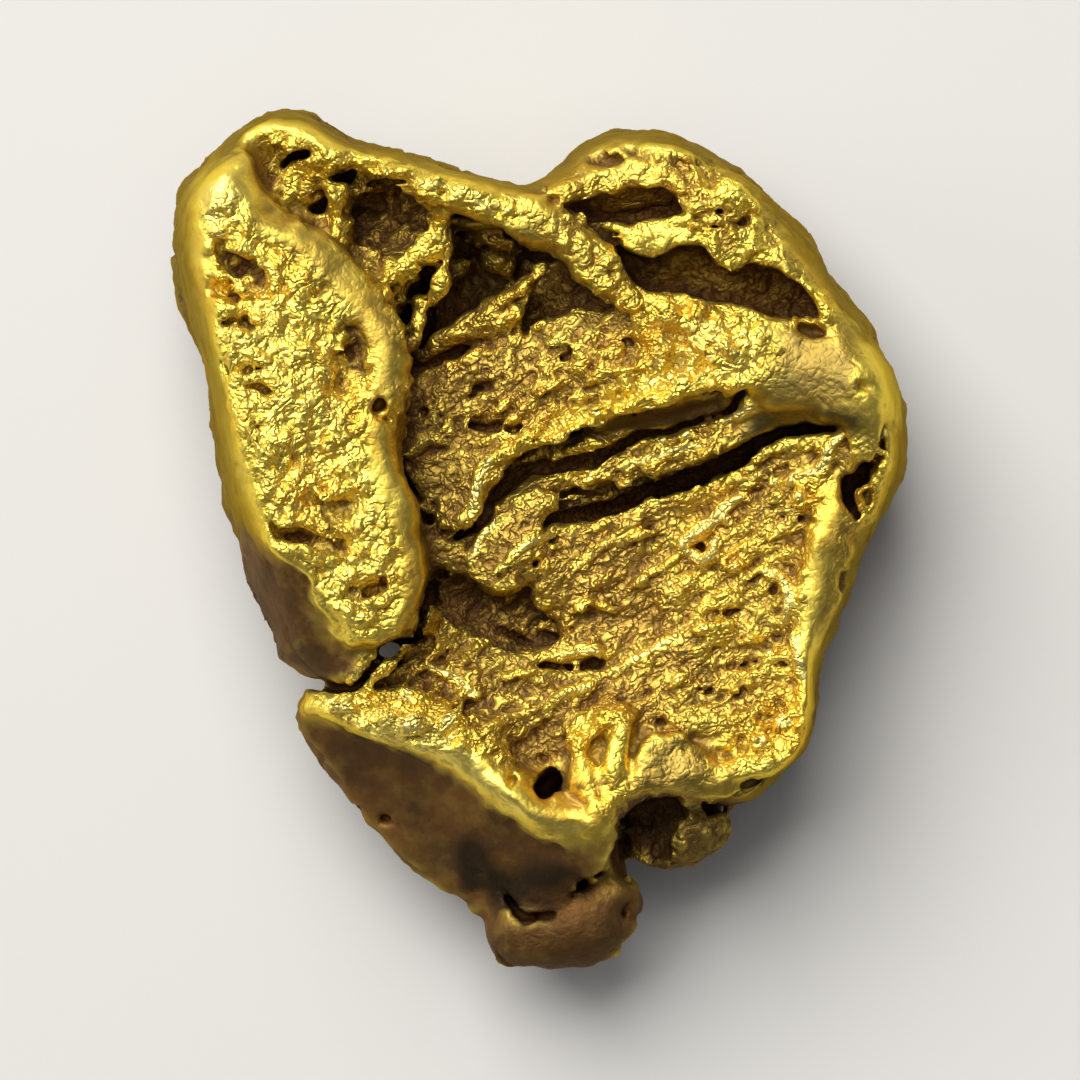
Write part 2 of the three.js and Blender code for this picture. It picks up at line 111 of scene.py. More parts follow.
def to_segment(start: Array, end: Array, x: Array, y: Array) -> tuple[Array, Array]:
    """Measures places in plan from a straight segment, by dropping a perpendicular to it.

    Args:
        start: The segment's first point, which starts with x, y.
        end: Its last point.
        x: The places' x.
        y: The places' y.

    Returns:
        How far along the segment the nearest point is, from zero to one, and how far away it is.
    """
    step = end - start
    square = max(step[0] ** 2 + step[1] ** 2, 1e-12)
    t = np.clip(((x - start[0]) * step[0] + (y - start[1]) * step[1]) / square, 0, 1)
    return t, np.hypot(x - start[0] - t * step[0], y - start[1] - t * step[1])


def along_path(path: Array, x: Array, y: Array) -> tuple[Array, Array]:
    """Finds how far each place in plan is from a path, and what the path's other columns are there.

    Args:
        path: Rows of x, y and any further values along the path.
        x: The places' x.
        y: The places' y.

    Returns:
        The distance to the nearest point of the path, and that point's further values on a last axis.
    """
    nearest = np.full(np.broadcast(x, y).shape, np.inf)
    values = np.zeros(nearest.shape + (path.shape[1] - 2,))
    for start, end in zip(path[:-1], path[1:], strict=True):
        t, away = to_segment(start, end, x, y)
        closer = away < nearest
        nearest = np.where(closer, away, nearest)
        found = start[2:] + t[..., None] * (end - start)[2:]
        values = np.where(closer[..., None], found, values)
    return nearest, values


def loop_distance(loop: Array, x: Array, y: Array) -> Array:
    """Finds the distance from each place in plan to a closed loop, negative inside it.

    A place is inside when a ray from it towards -X crosses the loop an odd number of times.

    Args:
        loop: Rows of x, y round the loop.
        x: The places' x.
        y: The places' y.

    Returns:
        The signed distance at each place.
    """
    nearest = np.full(np.broadcast(x, y).shape, np.inf)
    inside = np.zeros(nearest.shape, bool)
    for start, end in zip(loop, np.roll(loop, -1, axis=0), strict=True):
        nearest = np.minimum(nearest, to_segment(start, end, x, y)[1])
        step = end - start
        if step[1]:
            crossing = start[0] + step[0] * (y - start[1]) / step[1]
            inside ^= ((start[1] > y) != (end[1] > y)) & (x < crossing)
    return np.where(inside, -nearest, nearest)


# -------------------- seeded noise


class Noise:
    """Seeded noise over space, the same each time it is made."""

    def __init__(self, seed: int) -> None:
        """Draws the tables that the noise is looked up in.

        Args:
            seed: Chooses the noise.
        """
        draw = np.random.default_rng(seed)
        self.order = draw.permutation(256).astype(np.int32)
        directions = draw.normal(size=(256, 3))
        self.directions = (directions / np.linalg.norm(directions, axis=1)[:, None]).astype(np.float32)
        self.places = draw.random((256, 3)).astype(np.float32)

    def _look_up(self, cell: Array) -> Array:
        """Gives each cell of space a number from 0 to 255.

        Args:
            cell: Rows of whole numbers along x, y, z.

        Returns:
            A number for each row.
        """
        found = self.order[cell[:, 0] & 255]
        found = self.order[(found + cell[:, 1]) & 255]
        return self.order[(found + cell[:, 2]) & 255]

    def rolling(self, places: Array, size: float) -> Array:
        """Makes gradient noise: each cell corner has a slope, and the slopes are blended across the cell.

        Args:
            places: Rows of x, y, z.
            size: The cells' size.

        Returns:
            About -1 to 1 at each place.
        """
        scaled = places / size
        cell = np.floor(scaled).astype(np.int32)
        part = (scaled - cell).astype(np.float32)
        fade = part**3 * (part * (part * 6 - 15) + 10)
        total = np.zeros(len(places), np.float32)
        for corner in np.ndindex(2, 2, 2):
            corner = np.array(corner)
            slope = self.directions[self._look_up(cell + corner)]
            weight = np.prod(np.where(corner, fade, 1 - fade), axis=1)
            total += weight * np.sum(slope * (part - corner), axis=1)
        return total * 1.6

    def lumps(self, places: Array, size: float) -> Array:
        """Makes round lumps parted by creases: rolling noise without its sign, about its mean."""
        return np.abs(self.rolling(places, size)) - 0.25

    def nearest_dot(self, places: Array, size: float) -> Array:
        """Measures how far each place is from the nearest dot, where each cell holds one somewhere.

        Args:
            places: Rows of x, y, z.
            size: The cells' size.

        Returns:
            The distance, in cells.
        """
        scaled = places / size
        cell = np.floor(scaled).astype(np.int32)
        part = (scaled - cell).astype(np.float32)
        nearest = np.full(len(places), 9.0, np.float32)
        for corner in np.ndindex(3, 3, 3):
            corner = np.array(corner) - 1
            dot = self.places[self._look_up(cell + corner)] + corner
            nearest = np.minimum(nearest, np.sum((dot - part) ** 2, axis=1))
        return np.sqrt(nearest)


# -------------------- the gold's field


def smooth_min(a: Array, b: Array, width: float) -> Array:
    """The lower of two fields, with the corner between them filled by a parabola of this width."""
    overlap = np.maximum(width - np.abs(a - b), 0)
    return np.minimum(a, b) - overlap * overlap / (4 * width)


def round_corner(a: Array, b: Array, radius: float) -> Array:
    """Takes the higher of two fields, and turns the outer corner where they meet to a quarter circle.

    Args:
        a: One field.
        b: The other.
        radius: The quarter circle's radius.

    Returns:
        The joined field.
    """
    u = a + radius
    v = b + radius
    return np.minimum(np.maximum(u, v), 0) + np.hypot(np.maximum(u, 0), np.maximum(v, 0)) - radius


@dataclass
class GoldField:
    """The gold on a lattice of cubes: below zero inside it, above zero outside.

    Attributes:
        low: The lattice's lowest corner.
        high: Its highest corner.
        step: Its spacing.
        root: How deep ridges and plates reach down into the gold.
        waver: For each layer of the plan's waver, its height and its size.
    """

    low: tuple[float, float, float] = (-9.1, -10.5, -0.4)
    high: tuple[float, float, float] = (9.1, 10.5, 7.6)
    step: float = 0.08
    root: float = 1.4
    waver: tuple[Point, Point] = ((0.10, 1.1), (0.08, 0.45))

    def __post_init__(self) -> None:
        """Lays out the lattice with no gold in it yet, and a plan that wavers so that no edge is ruled."""
        counts = [round((b - a) / self.step) + 1 for a, b in zip(self.low, self.high, strict=True)]
        axes = [a + self.step * np.arange(n) for a, n in zip(self.low, counts, strict=True)]
        self.x = axes[0][:, None]
        self.y = axes[1][None, :]
        self.z = axes[2].astype(np.float32)
        self.values = np.full(counts, 9.0, np.float32)
        plan = np.stack(np.broadcast_arrays(self.x, self.y, 0.0), axis=-1).reshape(-1, 3)
        noise = Noise(7)
        bends = [
            sum(height * noise.rolling(plan + shift, size) for height, size in self.waver)
            for shift in (3.0, 31.0)
        ]
        self.bent_x = self.x + bends[0].reshape(counts[:2])
        self.bent_y = self.y + bends[1].reshape(counts[:2])

    def window(self, points: Array, reach: float) -> Window:
        """Finds the part of the plan within reach of some points.

        Args:
            points: Rows that start with x, y.
            reach: How far beyond the points it goes.

        Returns:
            The slices of the lattice's first two axes.
        """
        slices = []
        for axis in (0, 1):
            first = (points[:, axis].min() - reach - self.low[axis]) / self.step
            last = (points[:, axis].max() + reach - self.low[axis]) / self.step
            slices.append(slice(max(int(first), 0), max(int(last) + 2, 0)))
        return slices[0], slices[1]

    def join(self, window: Window, shape: Array, blend: float) -> None:
        """Adds gold where shape is below zero, with a fillet of this width."""
        self.values[window] = smooth_min(self.values[window], shape.astype(np.float32), blend)

    def cut(self, window: Window, shape: Array, blend: float) -> None:
        """Takes gold away where shape is below zero, with an edge rounded over this width."""
        self.values[window] = -smooth_min(-self.values[window], shape.astype(np.float32), blend)

    def ground(self) -> Array:
        """Height of the top of the gold over each place in plan, averaged over a small square."""
        top = np.where(self.values < 0, self.z, 0).max(axis=2)
        return box_blur(top[..., None], 3)[..., 0]

    def settle(self, rows: Rows, ground: Array, column: int) -> Rows:
        """Turns heights above the ground into heights.

        Args:
            rows: Rows that start with x, y.
            ground: The ground's height over the plan.
            column: The column that holds each row's height above the ground.

        Returns:
            The rows with true heights.
        """
        settled = []
        for row in rows:
            u, v = (round((row[axis] - self.low[axis]) / self.step) for axis in (0, 1))
            settled.append((*row[:column], row[column] + float(ground[u, v]), *row[column + 1:]))
        return settled

    def oval(self, x0: float, y0: float, long: float, wide: float, turn: float) -> tuple[Window, Array]:
        """Measures from the middle of an oval, so that its rim is wide away in every direction.

        Args:
            x0: The middle's x.
            y0: The middle's y.
            long: Half its length.
            wide: Half its width.
            turn: The direction of its length, in degrees from +X.

        Returns:
            The window round it, and the measure at each place there.
        """
        where = self.window(np.array([[x0, y0]]), max(long, wide) + 0.5)
        dx, dy = self.bent_x[where] - x0, self.bent_y[where] - y0
        c, s = math.cos(math.radians(turn)), math.sin(math.radians(turn))
        return where, np.hypot((dx * c + dy * s) * wide / long, dy * c - dx * s)


# -------------------- steps of the work


class Stroke(Enum):
    """How a stroke of round section runs: free, with gold down from it, or open up from it."""

    BAR = "bar"
    RIDGE = "ridge"
    TRENCH = "trench"


BAR, RIDGE, TRENCH = Stroke


@dataclass(frozen=True)
class Plate:
    """A plate, or a hollow, whose face is a plane bowed by the square of the distance from at.

    Attributes:
        outline: Points round it, which a smooth curve joins.
        height: The face's height over at.
        at: A point in plan.
        slope: The face's rise along X and Y.
        bow: The extra rise at one millimetre from at.
        edge: The radius of its edge.
        blend: The width of the fillet where it meets the rest.
        hollow: Whether it is cut away and not joined.
    """

    outline: Rows
    height: float
    at: Point = (0.0, 0.0)
    slope: Point = (0.0, 0.0)
    bow: float = 0.0
    edge: float = 0.3
    blend: float = 0.15
    hollow: bool = False

    def work(self, gold: GoldField) -> None:
        """Joins the plate to the gold, or cuts the hollow from it.

        Args:
            gold: The field that is changed.
        """
        loop = smooth_curve(np.array(self.outline), closed=True)
        where = gold.window(loop, 1.0)
        x, y = gold.bent_x[where], gold.bent_y[where]
        away = loop_distance(loop, x, y)[..., None]
        dx, dy = x - self.at[0], y - self.at[1]
        face = self.height + self.slope[0] * dx + self.slope[1] * dy + self.bow * (dx * dx + dy * dy)
        face = face[..., None]
        if self.hollow:
            gold.cut(where, round_corner(away, face - gold.z, self.edge), self.blend)
        else:
            shape = np.maximum(round_corner(away, gold.z - face, self.edge), gold.root - gold.z)
            gold.join(where, shape, self.blend)


@dataclass(frozen=True)
class Run:
    """A round section carried along a smooth path: a bar, a ridge or a trench.

    A place's field is its distance from the path, across and up, less the radius there. A ridge counts no
    distance below the path, and a trench counts none above it.

    Attributes:
        path: Points of x, y, the section's middle height and its radius.
        form: Which of the three it is.
        blend: The width of the fillet where it meets the rest.
    """

    path: Rows
    form: Stroke
    blend: float = 0.12

    def work(self, gold: GoldField) -> None:
        """Joins the bar or the ridge to the gold, or cuts the trench from it.

        Args:
            gold: The field that is changed.
        """
        curve = smooth_curve(np.array(self.path), closed=False)
        where = gold.window(curve, float(curve[:, 3].max()) + 0.8)
        away, facts = along_path(curve, gold.bent_x[where], gold.bent_y[where])
        away = away[..., None]
        rise = gold.z - facts[..., :1]
        radius = facts[..., 1:]
        if self.form is RIDGE:
            shape = np.hypot(away, np.maximum(rise, 0)) - radius
            gold.join(where, np.maximum(shape, gold.root - gold.z), self.blend)
        elif self.form is BAR:
            gold.join(where, np.hypot(away, rise) - radius, self.blend)
        else:
            gold.cut(where, np.hypot(away, np.minimum(rise, 0)) - radius, self.blend)


@dataclass(frozen=True)
class Pits:
    """Oval pits with round floors.

    Attributes:
        ovals: Each one's x, y, half length, half width, turn in degrees and floor height.
        blend: The width of their rounded mouths.
    """

    ovals: Rows
    blend: float = 0.12

    def work(self, gold: GoldField) -> None:
        """Cuts the pits from the gold.

        Args:
            gold: The field that is changed.
        """
        for x0, y0, long, wide, turn, floor in self.ovals:
            where, away = gold.oval(x0, y0, long, wide, turn)
            drop = np.minimum(gold.z - floor - wide, 0)
            gold.cut(where, np.hypot(away[..., None], drop) - wide, self.blend)


@dataclass(frozen=True)
class Lumps:
    """Oval lumps, each as tall above its middle as it is wide.

    Attributes:
        ovals: Each one's x, y, half length, half width, turn in degrees and top height.
        blend: The width of their fillets.
    """

    ovals: Rows
    blend: float = 0.15

    def work(self, gold: GoldField) -> None:
        """Joins the lumps to the gold.

        Args:
            gold: The field that is changed.
        """
        for x0, y0, long, wide, turn, top in self.ovals:
            where, away = gold.oval(x0, y0, long, wide, turn)
            gold.join(where, np.hypot(away[..., None], gold.z - top + wide) - wide, self.blend)


Steps = tuple[Plate | Run | Pits | Lumps, ...]


# -------------------- the nugget's parts


@dataclass(frozen=True)
class Part:
    """A part of the nugget, made in steps that each join gold or cut it away.

    Attributes:
        steps: The steps, in order.
    """

    steps: Steps = ()

    def form(self, gold: GoldField) -> None:
        """Makes the part.

        Args:
            gold: The field that is changed.
        """
        for step in self.steps:
            step.work(gold)


@dataclass(frozen=True)
class Body:
    """The pillow that the rest is worked into, with a waist, a rim and a bulging underside.

    Attributes:
        waist: The height at which the outline is widest.
        under_round: How far in from the outline the underside curves down.
        base: The underside's mean height between its feet.
        feet: x, y and radius of the bulges that it rests on.
        foot_drop: How far they stand below the base, with what is worn off them.
        rim: Stations round the outline, each x, y, the crest's height and its distance in from the outline.
    """

    waist: float = 2.7
    under_round: float = 3.4
    base: float = 0.55
    feet: Rows = ((-4.6, 3.6, 4.6), (3.9, 2.6, 4.8), (0.1, -4.8, 4.0))
    foot_drop: float = 0.97
    rim: Rows = (
        (-8.6, 7.1, 6.3, 0.9), (-8.42, 8, 6.2, 1.1), (-8, 8.7, 6, 1.3), (-7.4, 9.3, 5.8, 1.3),
        (-6.7, 9.77, 5.7, 1.1), (-6, 10, 5.6, 0.8), (-5.35, 9.93, 5.6, 0.8), (-4.8, 9.5, 5.7, 0.5),
        (-4.1, 9.16, 5.8, 0.4), (-3, 8.95, 5.9, 0.5), (-2, 8.67, 6, 0.5), (-1.1, 8.47, 6, 0.5),
        (-0.5, 8.3, 5.9, 0.6), (-0.1, 8.42, 5.6, 0.7), (0.5, 8.8, 5.3, 0.9), (1, 9.17, 5.2, 1),
        (1.7, 9.5, 5.3, 1), (2.4, 9.57, 5.4, 1), (3.2, 9.42, 5.5, 1.1), (4, 9, 5.6, 1.1),
        (5, 8.35, 5.7, 1.1), (5.9, 7.45, 5.6, 1.1), (6.6, 6.5, 5.5, 0.9), (7.2, 5.65, 5.5, 0.8),
        (7.8, 4.8, 5.8, 1), (8.3, 3.9, 6, 1.1), (8.58, 2.9, 5.9, 1), (8.5, 1.8, 5.5, 0.6),
        (8.1, 0.75, 5.2, 0.5), (7.6, -0.2, 5, 0.8), (7.25, -1.2, 4.8, 0.8), (6.75, -2.15, 4.9, 0.5),
        (6.45, -2.9, 5.1, 0.4), (6.41, -3.9, 5.2, 0.5), (6.25, -4.85, 5.2, 0.7), (5.7, -5.5, 5.1, 1),
        (4.9, -6.1, 4.9, 1.1), (4.2, -6.3, 4.8, 0.8), (3.4, -6.4, 4.9, 0.7), (2.5, -6.4, 5.1, 0.7),
        (2, -7.1, 5.3, 0.9), (1.65, -7.8, 5.4, 1.4), (0.9, -8.35, 5.5, 1.8), (0.1, -8.75, 5.5, 2.1),
        (-0.7, -8.9, 5.6, 2.4), (-1.4, -8.72, 5.6, 2.6), (-2, -8.25, 5.6, 2.6), (-2.8, -7.82, 5.6, 2.5),
        (-3.5, -7.27, 5.6, 2.3), (-4.15, -6.55, 5.5, 2), (-4.6, -5.9, 5.5, 1.7), (-5.1, -5.32, 5.4, 1.4),
        (-5.6, -4.7, 5.3, 1.1), (-5.8, -4.2, 5.2, 0.9), (-5.66, -3.75, 5, 0.8), (-5.45, -3.35, 4.9, 0.9),
        (-5.7, -3.1, 5.2, 1.2), (-6.15, -2.7, 5.6, 1.5), (-6.35, -1.95, 6, 1.6), (-6.7, -1.1, 6.4, 1.5),
        (-6.95, -0.3, 6.6, 1.2), (-7.3, 0.7, 6.8, 1.1), (-7.52, 1.75, 6.9, 0.95), (-7.7, 3, 6.9, 0.75),
        (-7.88, 4, 6.9, 0.65), (-8.2, 5.05, 6.8, 0.75), (-8.5, 6.1, 6.6, 0.8),
    )

    def underside(self, x: Array, y: Array) -> Array:
        """Works out the underside: shallow waves, less a quartic dome for each foot.

        Args:
            x: The places' x.
            y: The places' y.

        Returns:
            Its height at each place.
        """
        height = self.base + 0.2 * np.sin(0.9 * x + 0.4) * np.sin(0.8 * y - 0.6)
        for foot_x, foot_y, reach in self.feet:
            fall = 1 - np.minimum(((x - foot_x) ** 2 + (y - foot_y) ** 2) / reach**2, 1)
            height = height - self.foot_drop * fall * fall
        return height

    def inset(self, gold: GoldField) -> Array:
        """Distance from each place in plan to the outline, negative inside it."""
        return loop_distance(smooth_curve(np.array(self.rim)[:, :2], closed=True), gold.x, gold.y)

    def pillow(self, gold: GoldField) -> Array:
        """Works out the pillow's field: quarter ellipses run from the waist up to the crest and down.

        The crest's height and place between stations are means weighted by one over distance to the
        fourth. An ellipse's level, less one, is divided by how steeply it changes, to give a distance.

        Args:
            gold: The lattice that it is worked out on.

        Returns:
            The field.
        """
        inset = self.inset(gold)
        total = crest = reach = 0.0
        for x, y, height, width in self.rim:
            weight = 1 / ((gold.x - x) ** 2 + (gold.y - y) ** 2 + 0.4) ** 2
            total = total + weight
            crest = crest + weight * height
            reach = reach + weight * width
        above = gold.z > self.waist
        tall = np.where(above, (crest / total)[..., None] - self.waist, 0)
        deep = (self.waist - self.underside(gold.x, gold.y))[..., None]
        tall = np.where(above, tall, deep).astype(np.float32)
        wide = np.where(above, (reach / total)[..., None], self.under_round).astype(np.float32)
        u = np.maximum(1 + inset[..., None].astype(np.float32) / wide, 0)
        v = np.abs(gold.z - self.waist) / tall
        level = np.maximum(np.hypot(u, v), 1e-4)
        steepness = np.hypot(u / level / wide, v / level / tall)
        return (level - 1) / np.maximum(steepness, 1e-3)

    def form(self, gold: GoldField) -> None:
        """Fills the field with the pillow."""
        gold.values[:] = self.pillow(gold)


@dataclass(frozen=True)
class Trim:
    """The clean-up of the roots that parts leave outside the pillow.

    Attributes:
        lean: How far the sides lean in at one millimetre above the waist, growing as the square of that.
        blend: The width over which what it cuts is rounded.
    """

    lean: float = 0.03
    blend: float = 0.3

    def form(self, gold: GoldField) -> None:
        """Takes off what lies outside the pillow below its waist, or outside the leaning sides above it.

        Args:
            gold: The field that is changed.
        """
        body = Body()
        side = body.inset(gold)[..., None] + self.lean * np.maximum(gold.z - body.waist, 0) ** 2
        envelope = np.where(gold.z > body.waist, side, body.pillow(gold))
        gold.cut((slice(None), slice(None)), -envelope, self.blend)


@dataclass(frozen=True)
class Basin(Part):
    """The crumpled hollow inside the rims, before its plates are laid."""

    steps: Steps = (
        Plate([
            (-6.4, 9.3), (-5, 9), (-3.5, 8.6), (-2.45, 8), (-1.2, 7.6), (0.1, 6.75), (1.3, 5.85), (2.5, 5.4),
            (3.4, 5.1), (4.4, 4.2), (5.2, 3.1), (6.4, 2.9), (7.1, 2.6), (7.1, 1.6), (6.9, 0.6), (6.5, -0.4),
            (6.2, -1.5), (6.1, -3.4), (5.8, -4.3), (5.2, -4.9), (3.7, -5.5), (2.6, -5.6), (2, -5.5),
            (1.5, -6.2), (0.5, -6.3), (-0.9, -5.6), (-2.3, -4.75), (-4.4, -4.05), (-5.2, -3.7), (-5, -3.4),
            (-4.1, -3.3), (-3, -2.4), (-2.55, -1.4), (-2.7, -0.4), (-3, 0.8), (-3.5, 2), (-3.3, 3.2),
            (-3.2, 4.4), (-3.7, 5.5), (-4.7, 6.5), (-5.9, 7.3), (-6.5, 8.2),
        ], height=3.5, edge=0.3, blend=0.35, hollow=True),
    )


@dataclass(frozen=True)
class LeftRidge(Part):
    """The fat flap folded over along the left side, with a hammered top and smooth lips."""

    steps: Steps = (
        # The hammered top.
        Plate([
            (-7.8, 8), (-7.85, 7.3), (-7.45, 6.6), (-7.4, 5.9), (-7.45, 5.2), (-7.2, 4.1), (-6.95, 3),
            (-6.6, 2), (-6.3, 0.7), (-6, -0.2), (-5.3, -0.8), (-4.9, -1.7), (-4.4, -2.3), (-3.6, -2.3),
            (-3, -2.1), (-2.65, -1.4), (-2.75, -0.5), (-3, 0.5), (-3.4, 1.6), (-3.45, 2.3), (-3.2, 3.2),
            (-3.1, 4.1), (-3.3, 4.95), (-3.75, 5.5), (-4.4, 6), (-5, 6.85), (-5.6, 7.3), (-6.3, 7.6),
            (-6.9, 8.4), (-7.4, 8.5),
        ], height=6.75, at=(-6.0, 3.0), slope=(-0.14, 0.0), bow=-0.006, edge=0.42, blend=0.3),
        Lumps([(-7.2, 8, 1.1, 0.8, 70, 6.55), (-4.3, -1.7, 0.8, 0.6, -30, 6.1)], blend=0.4),
        # The crisp outer edge.
        Run([
            (-7.75, 8, 6.3, 0.12), (-7.85, 7.5, 6.4, 0.13), (-7.72, 7.1, 6.5, 0.13), (-7.5, 6.6, 6.55, 0.13),
            (-7.4, 6.1, 6.6, 0.13), (-7.52, 5.5, 6.65, 0.13), (-7.4, 4.5, 6.65, 0.13), (-7, 3, 6.65, 0.13),
            (-6.5, 1.6, 6.6, 0.13), (-6.1, -0.1, 6.5, 0.13), (-5.4, -0.6, 6.4, 0.14), (-5, -1.5, 6.2, 0.14),
            (-4.7, -2.1, 5.9, 0.15), (-4.2, -2.25, 5.7, 0.15),
        ], RIDGE, blend=0.2),
        # The smooth lip along its inner edge, which the hammered top sinks a little behind.
        Run([
            (-6.7, 7.9, 5.9, 0.38), (-5.8, 7.15, 5.95, 0.38), (-5.1, 6.65, 6, 0.38), (-4.5, 6, 6, 0.4),
            (-3.95, 5.35, 5.95, 0.42), (-3.6, 4.5, 5.95, 0.42), (-3.55, 3.5, 5.9, 0.4),
            (-3.75, 2.5, 5.9, 0.38), (-3.7, 1.6, 5.9, 0.38), (-3.3, 0.5, 5.9, 0.38),
            (-3.05, -0.5, 5.8, 0.36), (-2.95, -1.4, 5.6, 0.34), (-3.3, -2.1, 5.4, 0.3),
        ], RIDGE, blend=0.3),
        Run([(-7.3, 6.6, 6.5, 0.2), (-6.9, 6.3, 6.35, 0.27), (-6.4, 5.9, 6.5, 0.15)], TRENCH, blend=0.25),
        Run([(-7.3, 5.9, 6.55, 0.14), (-6.95, 5.6, 6.4, 0.2)], TRENCH, blend=0.25),
        Run([(-7.4, 5.03, 6.6, 0.09), (-6.8, 5, 6.45, 0.13), (-6.4, 4.95, 6.6, 0.08)], TRENCH, blend=0.1),
        Run([(-7.3, 4.05, 6.55, 0.09), (-6.9, 3.95, 6.4, 0.14), (-6.35, 4, 6.55, 0.09)], TRENCH, blend=0.1),
        Run([(-6.9, 3.6, 6.6, 0.1), (-6.4, 3.45, 6.5, 0.14)], TRENCH, blend=0.2),
        Run([
            (-6.05, 0.2, 6.3, 0.12), (-5.7, 0.15, 6.15, 0.18), (-5.2, -0.1, 6.2, 0.14),
            (-4.5, -0.2, 6.3, 0.1),
        ], TRENCH, blend=0.15),
        Run([(-5.2, 0.9, 6.5, 0.14), (-4.7, 0.7, 6.3, 0.2), (-4.2, 0.9, 6.4, 0.14)], TRENCH, blend=0.3),
        Run([(-4.6, 3.6, 6.4, 0.12), (-4.3, 4.2, 6.2, 0.18), (-4.35, 4.8, 6.3, 0.12)], TRENCH, blend=0.3),
        Pits([
            (-5.9, 5.85, 0.14, 0.12, 0, 6.6), (-6.6, 2.9, 0.13, 0.09, 20, 6.72),
            (-6.45, 2.65, 0.2, 0.07, 0, 6.7), (-5.75, 1.75, 0.14, 0.1, 60, 6.62),
            (-4.3, 1.7, 0.12, 0.1, 0, 6.4), (-3.72, 3.05, 0.14, 0.1, 40, 5.75),
            (-3.6, 2.75, 0.12, 0.07, -30, 6), (-3.85, -1.1, 0.5, 0.25, 20, 5.7),
            (-5.15, 5.55, 0.3, 0.2, 20, 6.35),
        ], blend=0.12),
    )


@dataclass(frozen=True)
class UpperLeftBench(Part):
    """The ground between the left ridge and the upper band, with its pits and walls between them."""

    steps: Steps = (
        # The bench, then the round pit in it.
        Plate([
            (-6.9, 9.5), (-5.6, 9.35), (-4.4, 8.9), (-2.6, 8.5), (-2.1, 7.6), (-2.3, 6.8), (-2.8, 6.1),
            (-3.2, 5.4), (-3.6, 4.8), (-4.6, 5.5), (-5.6, 6.6), (-6.9, 7.4),
        ], height=4.75, at=(-5.5, 8.2), slope=(-0.3, 0.12), bow=0.05, edge=0.25, blend=0.2),
        Plate([
            (-4.45, 7.5), (-4.2, 7.95), (-3.6, 8.2), (-2.95, 8.2), (-2.55, 7.8), (-2.6, 7.2), (-3, 6.85),
            (-3.7, 6.75), (-4.3, 6.9),
        ], height=3.4, at=(-3.5, 7.5), slope=(0.2, -0.4), bow=0.2, edge=0.25, blend=0.2, hollow=True),
        Pits([(-4.45, 6.45, 0.25, 0.16, -60, 4.2), (-6.2, 7.9, 0.2, 0.12, 60, 4.9)]),
        # Walls: between the pits, and down the far side of the round pit.
        Run([(-4.75, 8.3, 4.9, 0.16), (-4.72, 7.6, 4.9, 0.2), (-4.65, 6.75, 4.6, 0.18)], RIDGE, blend=0.25),
        Run([(-5.35, 9.05, 4.9, 0.18), (-5.15, 8.4, 4.7, 0.2)], RIDGE, blend=0.3),
        Run([(-3.4, 5.8, 4.6, 0.14), (-3.05, 6.25, 4.75, 0.16), (-2.6, 6.6, 4.8, 0.15)], RIDGE, blend=0.15),
        Run([
            (-2.35, 7.6, 5, 0.16), (-2.3, 7, 4.9, 0.18), (-2.7, 6.55, 4.8, 0.26), (-3.3, 6.25, 4.8, 0.26),
            (-3.75, 5.85, 4.8, 0.2), (-3.9, 5.6, 4.8, 0.15),
        ], RIDGE),
    )


@dataclass(frozen=True)
class Gully(Part):
    """The deep dark hollow under the upper band, with a thin wall along its lower side."""

    steps: Steps = (
        # The hollow, then its pillar and ribs, then the slab along its lower side.
        Plate([
            (-2.2, 7.3), (-1.2, 7.4), (-0.3, 7), (0.3, 6.5), (-0.3, 6.3), (-0.9, 5.75), (-1.6, 5.25),
            (-2.3, 4.8), (-2.95, 4.3), (-3.25, 4.9), (-3.2, 5.5), (-2.75, 6.1), (-2.3, 6.5), (-2.1, 6.9),
        ], height=2.5, at=(-1.3, 6.0), slope=(0.12, 0.1), edge=0.3, blend=0.15, hollow=True),
        Run([
            (-2.25, 6.95, 4.7, 0.13), (-2.3, 6.35, 4.85, 0.13), (-2.3, 6, 4.95, 0.19),
            (-2.45, 5.6, 4.75, 0.15),
        ], RIDGE),
        Run([(-2.9, 5.45, 4.3, 0.12), (-2.76, 4.95, 4.4, 0.14), (-2.95, 4.4, 4.4, 0.12)], RIDGE),
        Run([(-2.1, 7.3, 4, 0.12), (-1.5, 7.32, 4.2, 0.15), (-0.9, 7.2, 4.2, 0.12)], RIDGE, blend=0.15),
        Run([(-1.6, 6.95, 3.4, 0.12), (-1.2, 7, 3.7, 0.14), (-0.6, 6.85, 3.7, 0.12)], RIDGE, blend=0.15),
        Lumps([
            (-3.15, 4.95, 0.14, 0.1, 60, 4.9), (-1, 6.5, 0.4, 0.3, 0, 3.3), (-1.9, 6.3, 0.3, 0.2, 60, 3.5),
        ], blend=0.2),
        Plate([
            (0.1, 6.25), (-0.35, 6.1), (-0.85, 5.68), (-1.6, 5.22), (-2.3, 4.78), (-2.95, 4.2), (-2.7, 3.95),
            (-2.3, 4.3), (-1.8, 4.58), (-1.2, 4.75), (-0.6, 4.95), (-0.45, 5.35), (-0.1, 5.8),
        ], height=4.4, at=(-1.5, 5.0), slope=(0.22, 0.25), edge=0.18, blend=0.12),
        Run([(0.02, 6.2, 4.85, 0.1), (-0.35, 5.92, 5.05, 0.15), (-0.75, 5.65, 4.9, 0.12)], RIDGE),
        Run([
            (-2.75, 3.75, 4.2, 0.1), (-2.35, 4.02, 3.9, 0.13), (-1.8, 4.32, 3.8, 0.14),
            (-1.2, 4.48, 3.8, 0.14), (-0.65, 4.72, 4, 0.12),
        ], TRENCH),
    )


